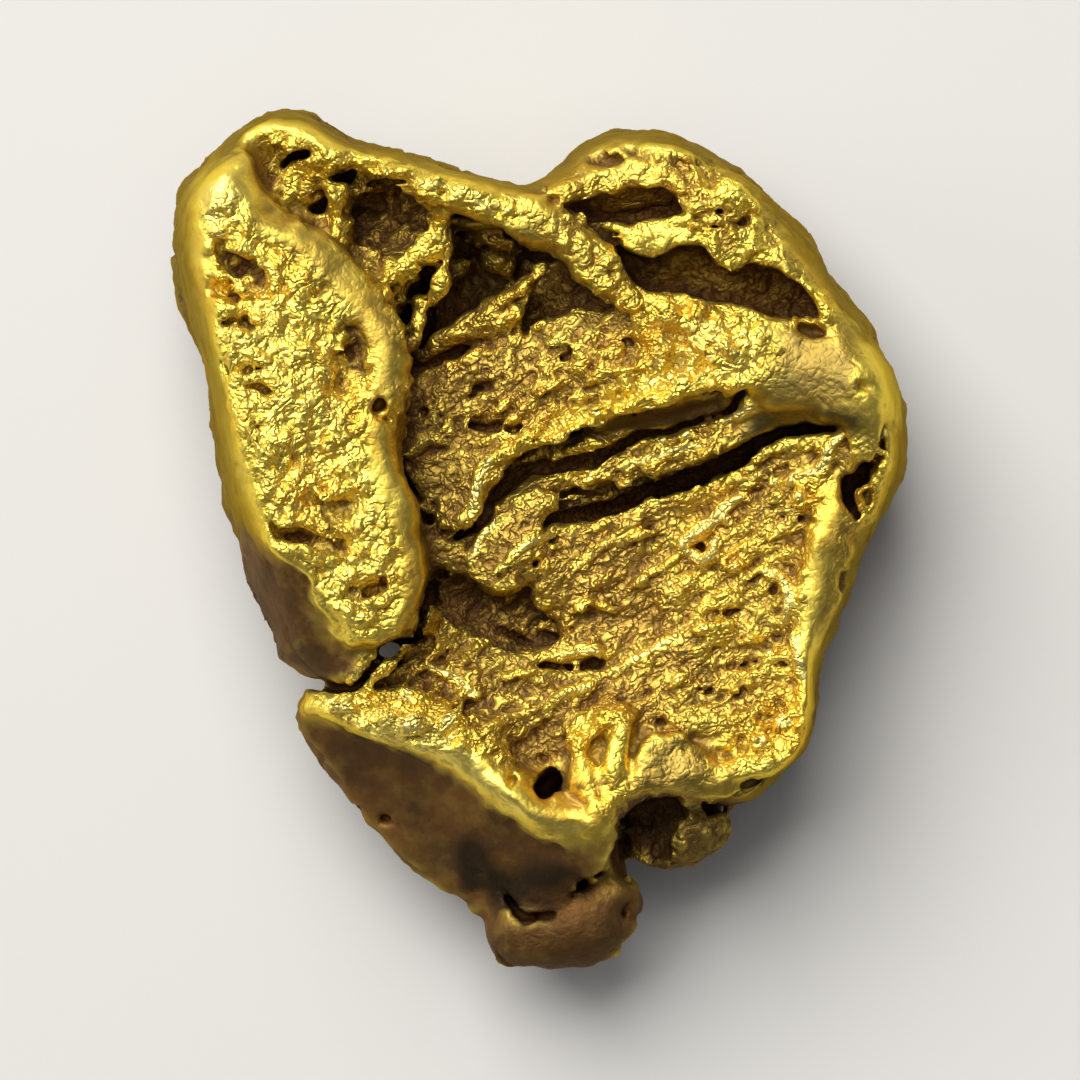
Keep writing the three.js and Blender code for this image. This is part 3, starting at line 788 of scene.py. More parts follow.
@dataclass(frozen=True)
class UpperBand(Part):
    """The rounded band that runs along the upper edge and down to the middle of the right ridge."""

    steps: Steps = (
        Run([
            (-6.3, 9.5, 5.1, 0.4), (-5.3, 9.2, 5.2, 0.45), (-4.4, 8.95, 5.3, 0.4), (-3.5, 8.72, 5.4, 0.4),
            (-2.6, 8.35, 5.4, 0.48), (-1.7, 8.05, 5.45, 0.55), (-0.8, 7.7, 5.4, 0.58), (0, 7.35, 5.35, 0.58),
            (0.7, 6.85, 5.3, 0.52), (1.3, 6.35, 5.3, 0.46), (1.9, 5.85, 5.3, 0.42), (2.6, 5.45, 5.3, 0.4),
        ], BAR, blend=0.3),
        # The seam between the band and the upper right lobe.
        Run([
            (-0.45, 8.45, 4.6, 0.1), (0.2, 7.95, 4.9, 0.08), (1, 7.4, 4.7, 0.1), (1.7, 6.9, 4.5, 0.12),
        ], TRENCH, blend=0.25),
        Pits([
            (-2.2, 8.05, 0.2, 0.1, 0, 5.75), (-3.6, 8.6, 0.15, 0.08, 10, 5.5), (-1, 7.1, 0.2, 0.1, 0, 3.8),
        ]),
    )


@dataclass(frozen=True)
class UpperRightLobe(Part):
    """The smooth dome at the upper right, which two slots break."""

    steps: Steps = (
        Lumps([
            (2.5, 6.98, 0.5, 0.17, 5, 5.45), (3.4, 7.05, 0.35, 0.22, -20, 5.5),
            (4.9, 6.75, 0.4, 0.25, 30, 5.5), (4.45, 6.5, 0.25, 0.15, -10, 5.3),
            (1.1, 8.15, 0.3, 0.12, 25, 5.3), (4.6, 8, 0.45, 0.2, -45, 5.75), (6.9, 5.1, 0.5, 0.2, -30, 5.4),
            (3, 8.95, 0.5, 0.25, -5, 5.35),
        ], blend=0.25),
        Pits([
            (1.4, 8.75, 0.55, 0.24, 8, 4.6), (2, 9, 0.45, 0.12, -20, 4.9), (4.15, 7.65, 0.16, 0.12, 60, 5),
            (4.65, 7.4, 0.35, 0.12, -15, 5.1), (3.95, 7.3, 0.15, 0.1, 0, 5), (6.3, 4.85, 0.35, 0.14, -25, 5),
        ]),
    )


@dataclass(frozen=True)
class RightRidge(Part):
    """The smooth saddle that runs from the upper band to the right side."""

    steps: Steps = (
        Run([
            (2.4, 5.2, 5.1, 0.4), (3.3, 4.85, 5.05, 0.65), (4.3, 4.45, 4.9, 0.85), (5.4, 4.1, 4.75, 1),
            (6.4, 3.85, 4.75, 1), (7.3, 3.5, 4.9, 0.95),
        ], RIDGE, blend=0.5),
        Run([
            (4.6, 3.3, 4.75, 0.3), (5.3, 3.25, 4.7, 0.38), (6.2, 3.15, 4.7, 0.42), (7.1, 3.05, 4.8, 0.42),
        ], BAR, blend=0.4),
        Pits([
            (3.1, 4.75, 0.3, 0.16, 10, 5.4), (3.7, 4.1, 0.22, 0.16, 30, 5.35),
            (7.75, 3.55, 0.2, 0.07, -20, 5.8),
        ], blend=0.2),
    )


@dataclass(frozen=True)
class CentralSheet(Part):
    """The crumpled sheet across the middle, with the lip along its lower edge and the strip below that."""

    steps: Steps = (
        # The strip, then the sheet over it and its lip.
        Plate([
            (-1.6, 0.2), (-1.2, 1.3), (0, 2.4), (1.8, 2.7), (3.4, 3.3), (4.8, 3.7), (6.2, 3.7), (7.4, 3.2),
            (7.1, 2.85), (5.6, 2.78), (4.6, 2.3), (3.4, 1.78), (1.9, 1.4), (0.6, 1), (-0.5, 0.6),
        ], height=4.35, at=(1.0, 1.5), slope=(0.15, 0.0), edge=0.25, blend=0.15),
        Run([
            (0.2, 0.88, 4.05, 0.16), (1.2, 1.08, 4.15, 0.17), (2.2, 1.38, 4.25, 0.18),
            (3.2, 1.68, 4.35, 0.18), (4.2, 2.1, 4.5, 0.2), (5.1, 2.72, 4.65, 0.28), (6.2, 3, 4.7, 0.35),
        ], BAR, blend=0.25),
        Plate([
            (-3.3, 3.5), (-2.6, 3.85), (-1.9, 4.2), (-1.2, 4.45), (-0.5, 4.8), (0.2, 5.2), (1.2, 5.25),
            (2.2, 5.35), (3.2, 5.3), (4.6, 4.6), (5, 3.9), (4.75, 3.5), (4, 3.5), (3.5, 3.38), (3, 3.14),
            (2.5, 3.04), (2, 2.94), (1.5, 2.75), (1, 2.48), (0.1, 2.15), (-0.5, 1.85), (-0.9, 1.3),
            (-1.1, 0.8), (-1.5, 0.3), (-2.1, 0.15), (-2.6, 0.5), (-2.9, 1), (-3.3, 2),
        ], height=5.1, at=(1.5, 3.6), slope=(0.18, -0.06), bow=0.0, edge=0.25, blend=0.15),
        Run([
            (-0.3, 2.2, 4.85, 0.12), (0.5, 2.45, 5, 0.12), (1, 2.6, 5.12, 0.12), (1.5, 2.86, 5.2, 0.13),
            (2, 3.02, 5.28, 0.13), (2.5, 3.13, 5.36, 0.14), (3, 3.24, 5.42, 0.14), (3.5, 3.47, 5.48, 0.15),
            (4, 3.6, 5.52, 0.15), (4.7, 3.6, 5.5, 0.18),
        ], RIDGE, blend=0.2),
        Run([
            (-0.2, 2.05, 4.35, 0.12), (0.6, 2.12, 4.4, 0.12), (1.3, 2.15, 4.4, 0.14), (1.85, 2.3, 4.4, 0.14),
        ], RIDGE, blend=0.1),
        # The steep face under the lip.
        Plate([
            (0.8, 2.5), (1.5, 2.82), (2, 2.97), (3, 3.2), (3.5, 3.42), (4.1, 3.55), (4.65, 3.5), (4.45, 3.1),
            (4, 2.85), (3, 2.6), (1.9, 2.48), (1, 2.26),
        ], height=4.75, at=(2.5, 2.85), slope=(-0.22, 1.35), edge=0.08, blend=0.06),
        Pits([
            (-1.4, 3.5, 0.25, 0.1, 30, 4.3), (-0.9, 2.57, 0.24, 0.06, 0, 4.1),
            (-2.6, 0.35, 0.25, 0.08, 60, 3.6), (2, 4.55, 0.3, 0.12, -30, 4.8),
            (0.6, 4.2, 0.35, 0.1, 30, 4.6), (-2.7, 2.9, 0.2, 0.1, 80, 4.2),
        ]),
    )


@dataclass(frozen=True)
class LowerSheet(Part):
    """The broad sheet that fills the lower half, turned up towards the right side and the lower edge."""

    steps: Steps = (
        Plate([
            (0, 0.55), (1, 0.7), (2.4, 1.1), (4, 1.6), (5.4, 2.4), (7.2, 2.6), (7.2, 1.5), (7, 0.6),
            (7.2, -0.4), (7, -2), (6.4, -4), (5.6, -5.2), (3.2, -5.9), (2, -5.9), (1.4, -6.8), (0, -6.7),
            (-1.2, -5.8), (-2.8, -5.1), (-4.4, -4.5), (-5.5, -4), (-4.6, -3.6), (-3.7, -3.1), (-2.6, -1.8),
            (-1.9, -1.65), (-0.9, -2.4), (0.1, -2.3), (-0.1, -1.4), (-0.2, -0.4),
        ], height=4.15, at=(0.6, -1.2), bow=0.018, edge=0.3, blend=0.25),
        # The lump between the cracks, on the left.
        Plate([
            (-3.1, 0.3), (-2.3, 0.2), (-1.5, 0.1), (-1, 0.75), (-0.4, 1.2), (0.5, 1.1), (0.4, 0.4),
            (-0.1, -0.4), (-0.5, -1.2), (-1.1, -1.25), (-1.7, -0.95), (-2.3, -0.8), (-3.1, -0.7),
        ], height=4.45, at=(-1.0, -0.2), slope=(0.05, 0.08), edge=0.4, blend=0.2),
        Run([(-1.25, 0.45, 4.15, 0.1), (-1.8, -0.25, 4.1, 0.12), (-2.15, -0.75, 4, 0.12)], RIDGE),
        Run([
            (-2.55, -1.1, 3.9, 0.25), (-2.1, -1.3, 3.9, 0.32), (-1.5, -1.5, 3.85, 0.36),
            (-1, -1.85, 3.8, 0.36), (-0.5, -2.15, 3.7, 0.3), (0, -2.2, 3.9, 0.15),
        ], TRENCH, blend=0.4),
        # The turned-up right side.
        Run([
            (6.9, 1.5, 4.7, 0.2), (6.65, 0.6, 4.8, 0.3), (6.4, -0.2, 4.75, 0.32), (6.3, -1, 4.65, 0.3),
            (6.15, -1.8, 4.65, 0.28), (6.1, -2.6, 4.75, 0.26), (6.15, -3.4, 4.85, 0.26), (6, -4.2, 4.9, 0.3),
        ], RIDGE, blend=0.35),
    )


@dataclass(frozen=True)
class LowerRim(Part):
    """The lower edge, from the lip on the left through its bumps to the corner on the right."""

    steps: Steps = (
        # The straight slope, then the crests and folds above it.
        Plate([
            (-5.9, -3.6), (-4.9, -3.95), (-3, -4.55), (-2.1, -4.9), (-1.2, -5.6), (0, -6.5), (1.4, -6.8),
            (1.9, -7.4), (1.4, -8), (0.6, -9), (-1.6, -9.6), (-4.4, -7.4), (-6.4, -5),
        ], height=4.75, at=(-2.1, -5.1), slope=(0.45, 0.66), edge=0.2, blend=0.25, hollow=True),
        Run([
            (-5.3, -3.75, 4.35, 0.28), (-4.7, -3.95, 4.6, 0.3), (-3.9, -4.25, 4.75, 0.32),
            (-2.9, -4.5, 4.8, 0.36), (-2.1, -4.8, 4.75, 0.42), (-1.4, -5.25, 4.75, 0.46),
            (-0.8, -5.8, 4.7, 0.5), (-0.1, -6.25, 4.65, 0.5), (0.7, -6.55, 4.6, 0.48),
            (1.4, -6.6, 4.5, 0.45),
        ], RIDGE, blend=0.4),
        Run([
            (-4.6, -3.75, 4.6, 0.3), (-3.2, -4.15, 4.7, 0.4), (-2, -4.5, 4.7, 0.4), (-1.1, -5.1, 4.65, 0.4),
            (-0.5, -5.9, 4.6, 0.35), (0.4, -6.35, 4.6, 0.3), (1.2, -6.4, 4.6, 0.3),
        ], RIDGE, blend=0.5),
        Plate([
            (2.15, -4.95), (2.5, -4.5), (3.3, -4.45), (3.7, -4.8), (4, -5.3), (3.4, -5.75), (2.2, -5.65),
        ], height=5.1, at=(3.0, -5.0), slope=(-0.05, -0.1), edge=0.3, blend=0.25),
        Plate([
            (0.7, -4.4), (1.5, -3.9), (2.3, -4.3), (2.5, -5.2), (2, -6), (1.2, -6.3), (0.8, -5.4),
        ], height=4.55, at=(1.5, -5.0), edge=0.3, blend=0.3),
        Run([
            (0.92, -4.75, 4.7, 0.16), (1.05, -5.1, 4.9, 0.2), (1.08, -5.6, 4.95, 0.22),
            (1.3, -6.2, 4.95, 0.28),
        ], RIDGE, blend=0.25),
        Run([
            (1.55, -4.1, 4.8, 0.18), (1.9, -4.25, 4.95, 0.2), (1.82, -4.75, 5, 0.21), (1.7, -5.3, 5, 0.22),
            (1.7, -5.9, 4.9, 0.24),
        ], RIDGE, blend=0.25),
        Run([
            (3.6, -5.75, 4.6, 0.3), (4.4, -5.5, 4.7, 0.3), (5.2, -5.15, 4.75, 0.3), (5.8, -4.75, 4.8, 0.3),
        ], RIDGE, blend=0.35),
        Pits([
            (-4.3, -6.2, 0.16, 0.09, 40, 2.62), (-3.55, -6.5, 0.22, 0.08, -30, 2.75),
            (-1.3, -7.7, 0.12, 0.1, 0, 2.9),
        ], blend=0.1),
        Pits([
            (0.25, -5.62, 0.46, 0.38, 20, 2.6), (0.05, -5.05, 0.14, 0.1, 60, 3.8),
            (-0.62, -5.6, 0.17, 0.12, 70, 4.9),
        ]),
        Lumps([(4.3, -4.75, 0.85, 0.36, 12, 4.78)], blend=0.3),
        Pits([(3.45, -4.75, 0.15, 0.08, 0, 4.95), (4.85, -5.62, 0.3, 0.12, 20, 4.1)]),
    )


@dataclass(frozen=True)
class Tail(Part):
    """The broken end: a nub and a lobe set low, with a dark cavity between them and the rim."""

    steps: Steps = (
        # The nub and the lobe, then the cavity between them and the cracks round them.
        Run([
            (-0.25, -9.05, 2.75, 0.9), (0.5, -9, 2.75, 1), (1.2, -8.7, 2.8, 1), (1.55, -8.3, 2.9, 0.8),
        ], BAR, blend=0.2),
        Run([(-0.4, -8.5, 2.1, 0.9), (0.4, -8.3, 1.9, 1), (1.2, -7.9, 2, 0.9)], BAR, blend=0.5),
        Run([(2.2, -6.4, 1.7, 0.8), (3.2, -6.1, 1.8, 0.9)], BAR, blend=0.4),
        Run([(2.7, -6.65, 2.6, 0.9), (3.3, -6.6, 2.7, 0.95), (3.6, -6.5, 2.8, 0.85)], BAR, blend=0.2),
        Plate([
            (1.65, -7.35), (1.95, -6.6), (2.4, -6), (3.1, -5.95), (3.3, -6.4), (3, -6.9), (2.9, -7.3),
            (2.2, -7.45), (2.15, -7.9), (2, -8.05),
        ], height=2.7, at=(2.4, -6.8), edge=0.2, blend=0.15, hollow=True),
        Run([(2.2, -7.5, 2, 0.12), (1.95, -7.1, 1.8, 0.16), (2, -6.5, 2.2, 0.12)], TRENCH),
        Plate([
            (-0.95, -8.1), (-0.5, -8.4), (-0.15, -8.75), (-0.45, -8.82), (-0.75, -8.5),
        ], height=2.3, edge=0.1, blend=0.1, hollow=True),
        Run([(-0.2, -8.72, 3, 0.1), (0.4, -8.62, 3.5, 0.05), (0.8, -8.25, 3.5, 0.06)], TRENCH),
        Pits([(1, -8.02, 0.16, 0.13, 40, 2.6), (1.3, -7.72, 0.14, 0.06, 30, 3.4)], blend=0.08),
        Run([
            (1.2, -7.95, 3.3, 0.16), (1.65, -8.2, 3.4, 0.17), (1.88, -8.6, 3.25, 0.15), (1.8, -9, 3, 0.13),
        ], BAR, blend=0.15),
        Pits([
            (3.9, -6.12, 0.24, 0.12, -10, 2.4), (1.4, -7.75, 0.2, 0.12, 0, 3.9),
            (1.95, -8.75, 0.3, 0.06, 70, 3),
        ]),
    )


@dataclass(frozen=True)
class RightRim(Part):
    """The right edge below the saddle, with the deep pit in it."""

    steps: Steps = (
        Plate([
            (7.5, 1.95), (7.2, 1.6), (6.92, 1.25), (6.98, 0.8), (7.3, 0.4), (7.42, 0.8), (7.36, 1.1),
            (7.65, 1.35), (7.68, 1.65),
        ], height=3.2, edge=0.15, blend=0.12, hollow=True),
        Pits([(7.85, 2, 0.4, 0.14, 65, 4.7), (7.6, 0.9, 0.3, 0.12, 70, 4.3)], blend=0.2),
        Pits([(7, -1, 0.2, 0.1, 70, 4.3), (4.3, -6.2, 0.2, 0.06, 0, 4)]),
    )


@dataclass(frozen=True)
class Cracks(Part):
    """The long cracks: under the sheet's lip, under the strip, and beside the left lump."""

    steps: Steps = (
        Run([
            (4.68, 3.4, 4.3, 0.08), (4.48, 3.05, 4.1, 0.09), (4, 2.78, 4.1, 0.07), (3, 2.53, 4, 0.07),
            (2.4, 2.42, 3.8, 0.11), (1.95, 2.25, 3.7, 0.12), (1.3, 1.92, 3.7, 0.17), (0.6, 1.78, 3.6, 0.19),
            (0, 1.7, 3.6, 0.19), (-0.5, 1.5, 3.6, 0.2), (-0.95, 1.15, 3.7, 0.18), (-1.2, 0.7, 3.9, 0.14),
            (-1.5, 0.2, 4.1, 0.1), (-1.75, -0.25, 4.3, 0.08),
        ], TRENCH, blend=0.12),
        Run([
            (0.3, 0.42, 3.6, 0.12), (0.9, 0.57, 3, 0.18), (2, 0.9, 2.7, 0.22), (3, 1.2, 2.7, 0.23),
            (3.8, 1.52, 2.7, 0.23), (4.4, 1.85, 2.8, 0.21), (4.9, 2.15, 2.9, 0.19), (5.5, 2.42, 3.1, 0.15),
            (6.2, 2.52, 3.3, 0.12), (6.8, 2.52, 3.7, 0.09),
        ], TRENCH, blend=0.15),
        Run([(-2.6, -1.05, 3, 0.08), (-2.5, -1.35, 2.9, 0.12), (-2.35, -1.5, 3.2, 0.08)], TRENCH),
        Run([(-0.9, -2.1, 3.2, 0.07), (-0.5, -2.3, 3, 0.12), (-0.1, -2.35, 3.3, 0.08)], TRENCH),
        Pits([
            (-0.2, -0.62, 0.25, 0.07, 40, 3.8), (0.2, -2.95, 0.2, 0.08, 0, 3.8),
            (1.3, -2.95, 0.2, 0.08, 0, 3.8),
        ]),
    )


# Crests on the crumpled ground: points of x, y, height above the ground and radius.
CRESTS = (
    [
        (6.95, 2.4, 0.05, 0.09), (6.68, 2.05, 0.14, 0.13), (6.5, 1.68, 0.14, 0.12), (6, 1.5, 0.1, 0.11),
        (5.7, 1.3, 0.05, 0.08),
    ],
    [
        (4.7, 1, 0.05, 0.08), (4.3, 0.78, 0.14, 0.13), (4, 0.45, 0.18, 0.15), (3.6, 0.2, 0.14, 0.14),
        (3.3, -0.1, 0.08, 0.11),
    ],
    [
        (5.15, -0.72, 0.05, 0.09), (5.55, -0.85, 0.14, 0.12), (5.75, -1.15, 0.16, 0.13),
        (5.72, -1.6, 0.14, 0.12), (5.62, -1.9, 0.05, 0.09),
    ],
    [
        (0.05, -2.75, 0.05, 0.07), (0.5, -2.66, 0.12, 0.1), (0.95, -2.58, 0.16, 0.13),
        (1.35, -2.65, 0.18, 0.17),
    ],
    [(-0.95, 0.5, 0.05, 0.08), (-1.3, 0.1, 0.1, 0.11), (-1.6, -0.4, 0.05, 0.09)],
    [(4.08, 0.02, 0.1, 0.11), (3.98, -0.3, 0.16, 0.14), (3.75, -0.5, 0.1, 0.11)],
    [(3.3, 0.02, 0.05, 0.09), (3.42, -0.28, 0.12, 0.11), (3.7, -0.45, 0.1, 0.1)],
    [(1.9, 1.66, 0.02, 0.07), (2.9, 2, 0.08, 0.1), (3.7, 2.2, 0.02, 0.08)],
    [(4.3, 2.75, 0.05, 0.1), (4.85, 3.05, 0.12, 0.14)],
    [(5.9, -2.2, 0.05, 0.09), (5.95, -2.7, 0.14, 0.13), (6.1, -3.2, 0.08, 0.11)],
    [(-1.2, 1.85, 0.05, 0.09), (-1.5, 1.1, 0.14, 0.13), (-1.6, 0.65, 0.05, 0.1)],
    [(-2.6, -2.9, 0.05, 0.08), (-2, -3.15, 0.12, 0.11), (-1.5, -3.6, 0.1, 0.11)],
    [(1.1, -3.4, 0.05, 0.08), (0.6, -3.6, 0.12, 0.11), (0.2, -4, 0.05, 0.09)],
    [(-0.6, -0.3, 0.05, 0.07), (-0.1, 0, 0.1, 0.09), (0.4, 0.1, 0.05, 0.07)],
    [(1.6, -3.1, 0.02, 0.07), (2.4, -2.6, 0.1, 0.1), (3.1, -2.3, 0.05, 0.08)],
    [(0.7, -0.6, 0.02, 0.06), (1.5, -0.1, 0.08, 0.08), (2.2, 0.25, 0.02, 0.07)],
)
# Flakes on it: x, y, half length, half width, turn in degrees and top height above the ground.
FLAKES = [
    (6.03, 1, 0.27, 0.16, 80, 0.34), (0.95, -1.5, 0.3, 0.13, 55, 0.32), (1.5, -1.6, 0.3, 0.12, -20, 0.3),
    (3.75, -2.1, 0.25, 0.13, 20, 0.3), (5.3, -2.6, 0.28, 0.11, 30, 0.27), (5.1, -4.65, 0.32, 0.17, 10, 0.3),
    (5.65, -4.2, 0.32, 0.19, 60, 0.32), (-3.1, -3.6, 0.5, 0.18, 5, 0.27), (-2.1, -4.2, 0.4, 0.22, 60, 0.32),
    (-3.05, -4.25, 0.4, 0.22, 0, 0.3), (-4.6, -3.85, 0.4, 0.15, -10, 0.27), (-0.3, -3.1, 0.4, 0.1, 10, 0.25),
    (4.35, 0.4, 0.16, 0.12, 0, 0.27), (5.55, 0.95, 0.2, 0.12, 10, 0.27), (5.45, 1.3, 0.2, 0.12, 40, 0.27),
    (2.3, 0.1, 0.35, 0.1, 25, 0.25), (0.1, -0.75, 0.16, 0.11, 20, 0.3), (4.9, -2.3, 0.3, 0.1, 20, 0.24),
    (1.15, 1.48, 0.2, 0.12, 10, 0.27), (2.8, 2.3, 0.2, 0.12, 20, 0.27), (3.4, 2.42, 0.22, 0.13, 20, 0.27),
    (2.4, -0.9, 0.25, 0.1, 40, 0.26), (4.5, -0.6, 0.2, 0.1, 0, 0.26), (0.9, 3.3, 0.3, 0.1, 20, 0.24),
    (0.2, 3.6, 0.3, 0.1, 35, 0.24), (2, 3.9, 0.3, 0.12, 20, 0.26), (-0.9, 3.1, 0.25, 0.09, 40, 0.24),
    (-2.1, 2.6, 0.3, 0.1, 70, 0.24), (0.4, 4.6, 0.3, 0.1, 20, 0.24), (3.2, -3.2, 0.3, 0.1, 30, 0.22),
    (0.1, -1.9, 0.25, 0.09, 40, 0.24), (-0.9, -0.6, 0.2, 0.09, 30, 0.24), (1.3, 2.95, 0.25, 0.1, 25, 0.24),
]
# Pits beside them: x, y, half length, half width, turn in degrees and floor height above the ground.
FLAKE_PITS = [
    (3.7, -0.1, 0.15, 0.12, 0, -0.35), (5.42, -1.2, 0.1, 0.07, 60, -0.3), (4.4, -1.7, 0.3, 0.05, 10, -0.25),
    (3.8, -3.5, 0.13, 0.07, 0, -0.25), (2.7, -4.22, 0.16, 0.08, 10, -0.3), (6, 0.5, 0.35, 0.05, -5, -0.3),
    (-1.4, 3.5, 0.22, 0.06, 30, -0.3), (-0.9, 2.57, 0.24, 0.05, 0, -0.3),
    (0.45, -2.99, 0.42, 0.07, -6, -0.5), (1.15, -2.93, 0.36, 0.1, 8, -0.5),
    (5.5, -2.9, 0.3, 0.05, 10, -0.25), (4.8, -2.85, 0.25, 0.04, 20, -0.25),
    (-1.5, -4, 0.25, 0.06, 60, -0.25),
]


@dataclass(frozen=True)
class Flakes:
    """The crests, hooks and flakes that stand on the crumpled ground, and the small pits beside them.

    Attributes:
        height_share: How much of its height each crest keeps.
        radius_share: How much of its radius it keeps.
        blend: The width of all their fillets.
    """

    height_share: float = 0.6
    radius_share: float = 1.15
    blend: float = 0.08

    def form(self, gold: GoldField) -> None:
        """Joins the crests and flakes and cuts the pits, each at its height above the ground there.

        Args:
            gold: The field that is changed.
        """
        ground = gold.ground()
        for crest in CRESTS:
            low = [(x, y, self.height_share * up, self.radius_share * radius) for x, y, up, radius in crest]
            Run(gold.settle(low, ground, column=2), BAR, self.blend).work(gold)
        Lumps(gold.settle(FLAKES, ground, column=5), self.blend).work(gold)
        Pits(gold.settle(FLAKE_PITS, ground, column=5), self.blend).work(gold)


@dataclass(frozen=True)
class Slots(Part):
    """The clean-edged slots of the upper right lobe and the pits of the upper left bench."""

    steps: Steps = (
        # The two slots, the first deepest along its lower side, then the pits of the bench.
        Plate([
            (0.6, 7.72), (1.3, 7.95), (2.1, 8.15), (2.8, 8.15), (3.25, 7.9), (3.3, 7.5), (2.6, 7.4),
            (1.4, 7.3), (1.05, 7.5),
        ], height=4.2, at=(2.2, 7.5), slope=(-0.1, 1.0), edge=0.12, blend=0.12, hollow=True),
        Run([
            (1.25, 7.38, 4.5, 0.07), (1.8, 7.48, 4.3, 0.12), (2.5, 7.58, 4.3, 0.15), (3.1, 7.7, 4.4, 0.14),
        ], TRENCH, blend=0.1),
        Plate([
            (1.65, 6.85), (2.1, 6.64), (2.7, 6.62), (3.3, 6.82), (3.85, 6.75), (4.25, 6.28), (5, 6.42),
            (5.6, 6.2), (6.2, 5.85), (6.45, 5.5), (6.45, 5.12), (5.6, 5.12), (4.6, 5.38), (3.4, 5.62),
            (2.4, 5.8), (1.95, 6.15),
        ], height=3.5, at=(3.5, 5.9), slope=(0.05, 0.3), edge=0.2, blend=0.12, hollow=True),
        Plate([
            (-4.98, 8.32), (-4.6, 8.5), (-4.28, 8.58), (-4.25, 8.32), (-4.6, 8.22),
        ], height=3.5, edge=0.1, blend=0.08, hollow=True),
        Plate([
            (-5.42, 7.66), (-5.2, 7.85), (-4.9, 8), (-4.95, 7.65), (-5.15, 7.55),
        ], height=3.6, edge=0.1, blend=0.08, hollow=True),
        Run([(-5.9, 8.72, 4.3, 0.08), (-5.65, 8.86, 4, 0.14), (-5.38, 8.9, 4.1, 0.1)], TRENCH, blend=0.08),
        Run([(-4.1, 8.16, 4, 0.07), (-3.6, 8.27, 3.8, 0.09), (-3.1, 8.28, 3.9, 0.07)], TRENCH, blend=0.08),
        Run([
            (-2.32, 6.45, 3.5, 0.05), (-2.7, 6.05, 3.3, 0.08), (-3.1, 5.55, 3.4, 0.07),
        ], TRENCH, blend=0.06),
    )


@dataclass(frozen=True)
class Cleft(Part):
    """The cleft that parts the foot of the left ridge from the lower rim, with a hole right through it."""

    steps: Steps = (
        # The cleft, then the hole.
        Run([
            (-5.7, -3.2, 2.2, 0.1), (-5.2, -3.32, 2, 0.16), (-4.6, -3.38, 1.9, 0.14),
            (-4.15, -3.3, 1.9, 0.1), (-3.85, -2.9, 1.9, 0.1), (-3.3, -2.4, 1.9, 0.1),
            (-2.9, -2.25, 2.6, 0.08), (-2.7, -1.7, 2.9, 0.08), (-2.5, -1.15, 3.2, 0.09),
        ], TRENCH, blend=0.12),
        Pits([(-3.48, -2.55, 0.32, 0.2, 25, -2)], blend=0.15),
    )


PARTS = (
    Body(), Basin(), UpperLeftBench(), Gully(), CentralSheet(), LowerSheet(), RightRidge(), UpperBand(),
    UpperRightLobe(), LeftRidge(), LowerRim(), Trim(), Tail(), RightRim(),
)
OPENINGS = (Flakes(), Slots(), Cracks(), Cleft())


# -------------------- surface texture


@dataclass(frozen=True)
class Region:
    """A stretch of the top with a texture of its own, or with a colour, painted shade or painted highlight
    of its own.

    Attributes:
        outline: Points round it in plan.
        fade: The width over which it gives way to the next.
        strength: How much of its texture, colour, painted shade or painted highlight it has.
    """

    outline: Rows
    fade: float = 0.35
    strength: float = 1.0

    def mask(self, x: Array, y: Array) -> Array:
        """Reads the region off a fine map at each place.

        Args:
            x: The places' x.
            y: The places' y.

        Returns:
            The strength inside the region and zero outside, with a slope between.
        """
        pitch = 0.05
        loop = smooth_curve(np.array(self.outline), closed=True)
        corner = loop.min(axis=0) - self.fade - pitch
        count = np.ceil((loop.max(axis=0) + self.fade + pitch - corner) / pitch).astype(int) + 1
        map_x = (corner[0] + pitch * np.arange(count[0]))[:, None]
        map_y = (corner[1] + pitch * np.arange(count[1]))[None, :]
        chart = np.clip(0.5 - loop_distance(loop, map_x, map_y) / self.fade, 0, 1)
        u = np.clip(np.rint((x - corner[0]) / pitch), 0, count[0] - 1).astype(int)
        v = np.clip(np.rint((y - corner[1]) / pitch), 0, count[1] - 1).astype(int)
        return self.strength * chart[u, v]
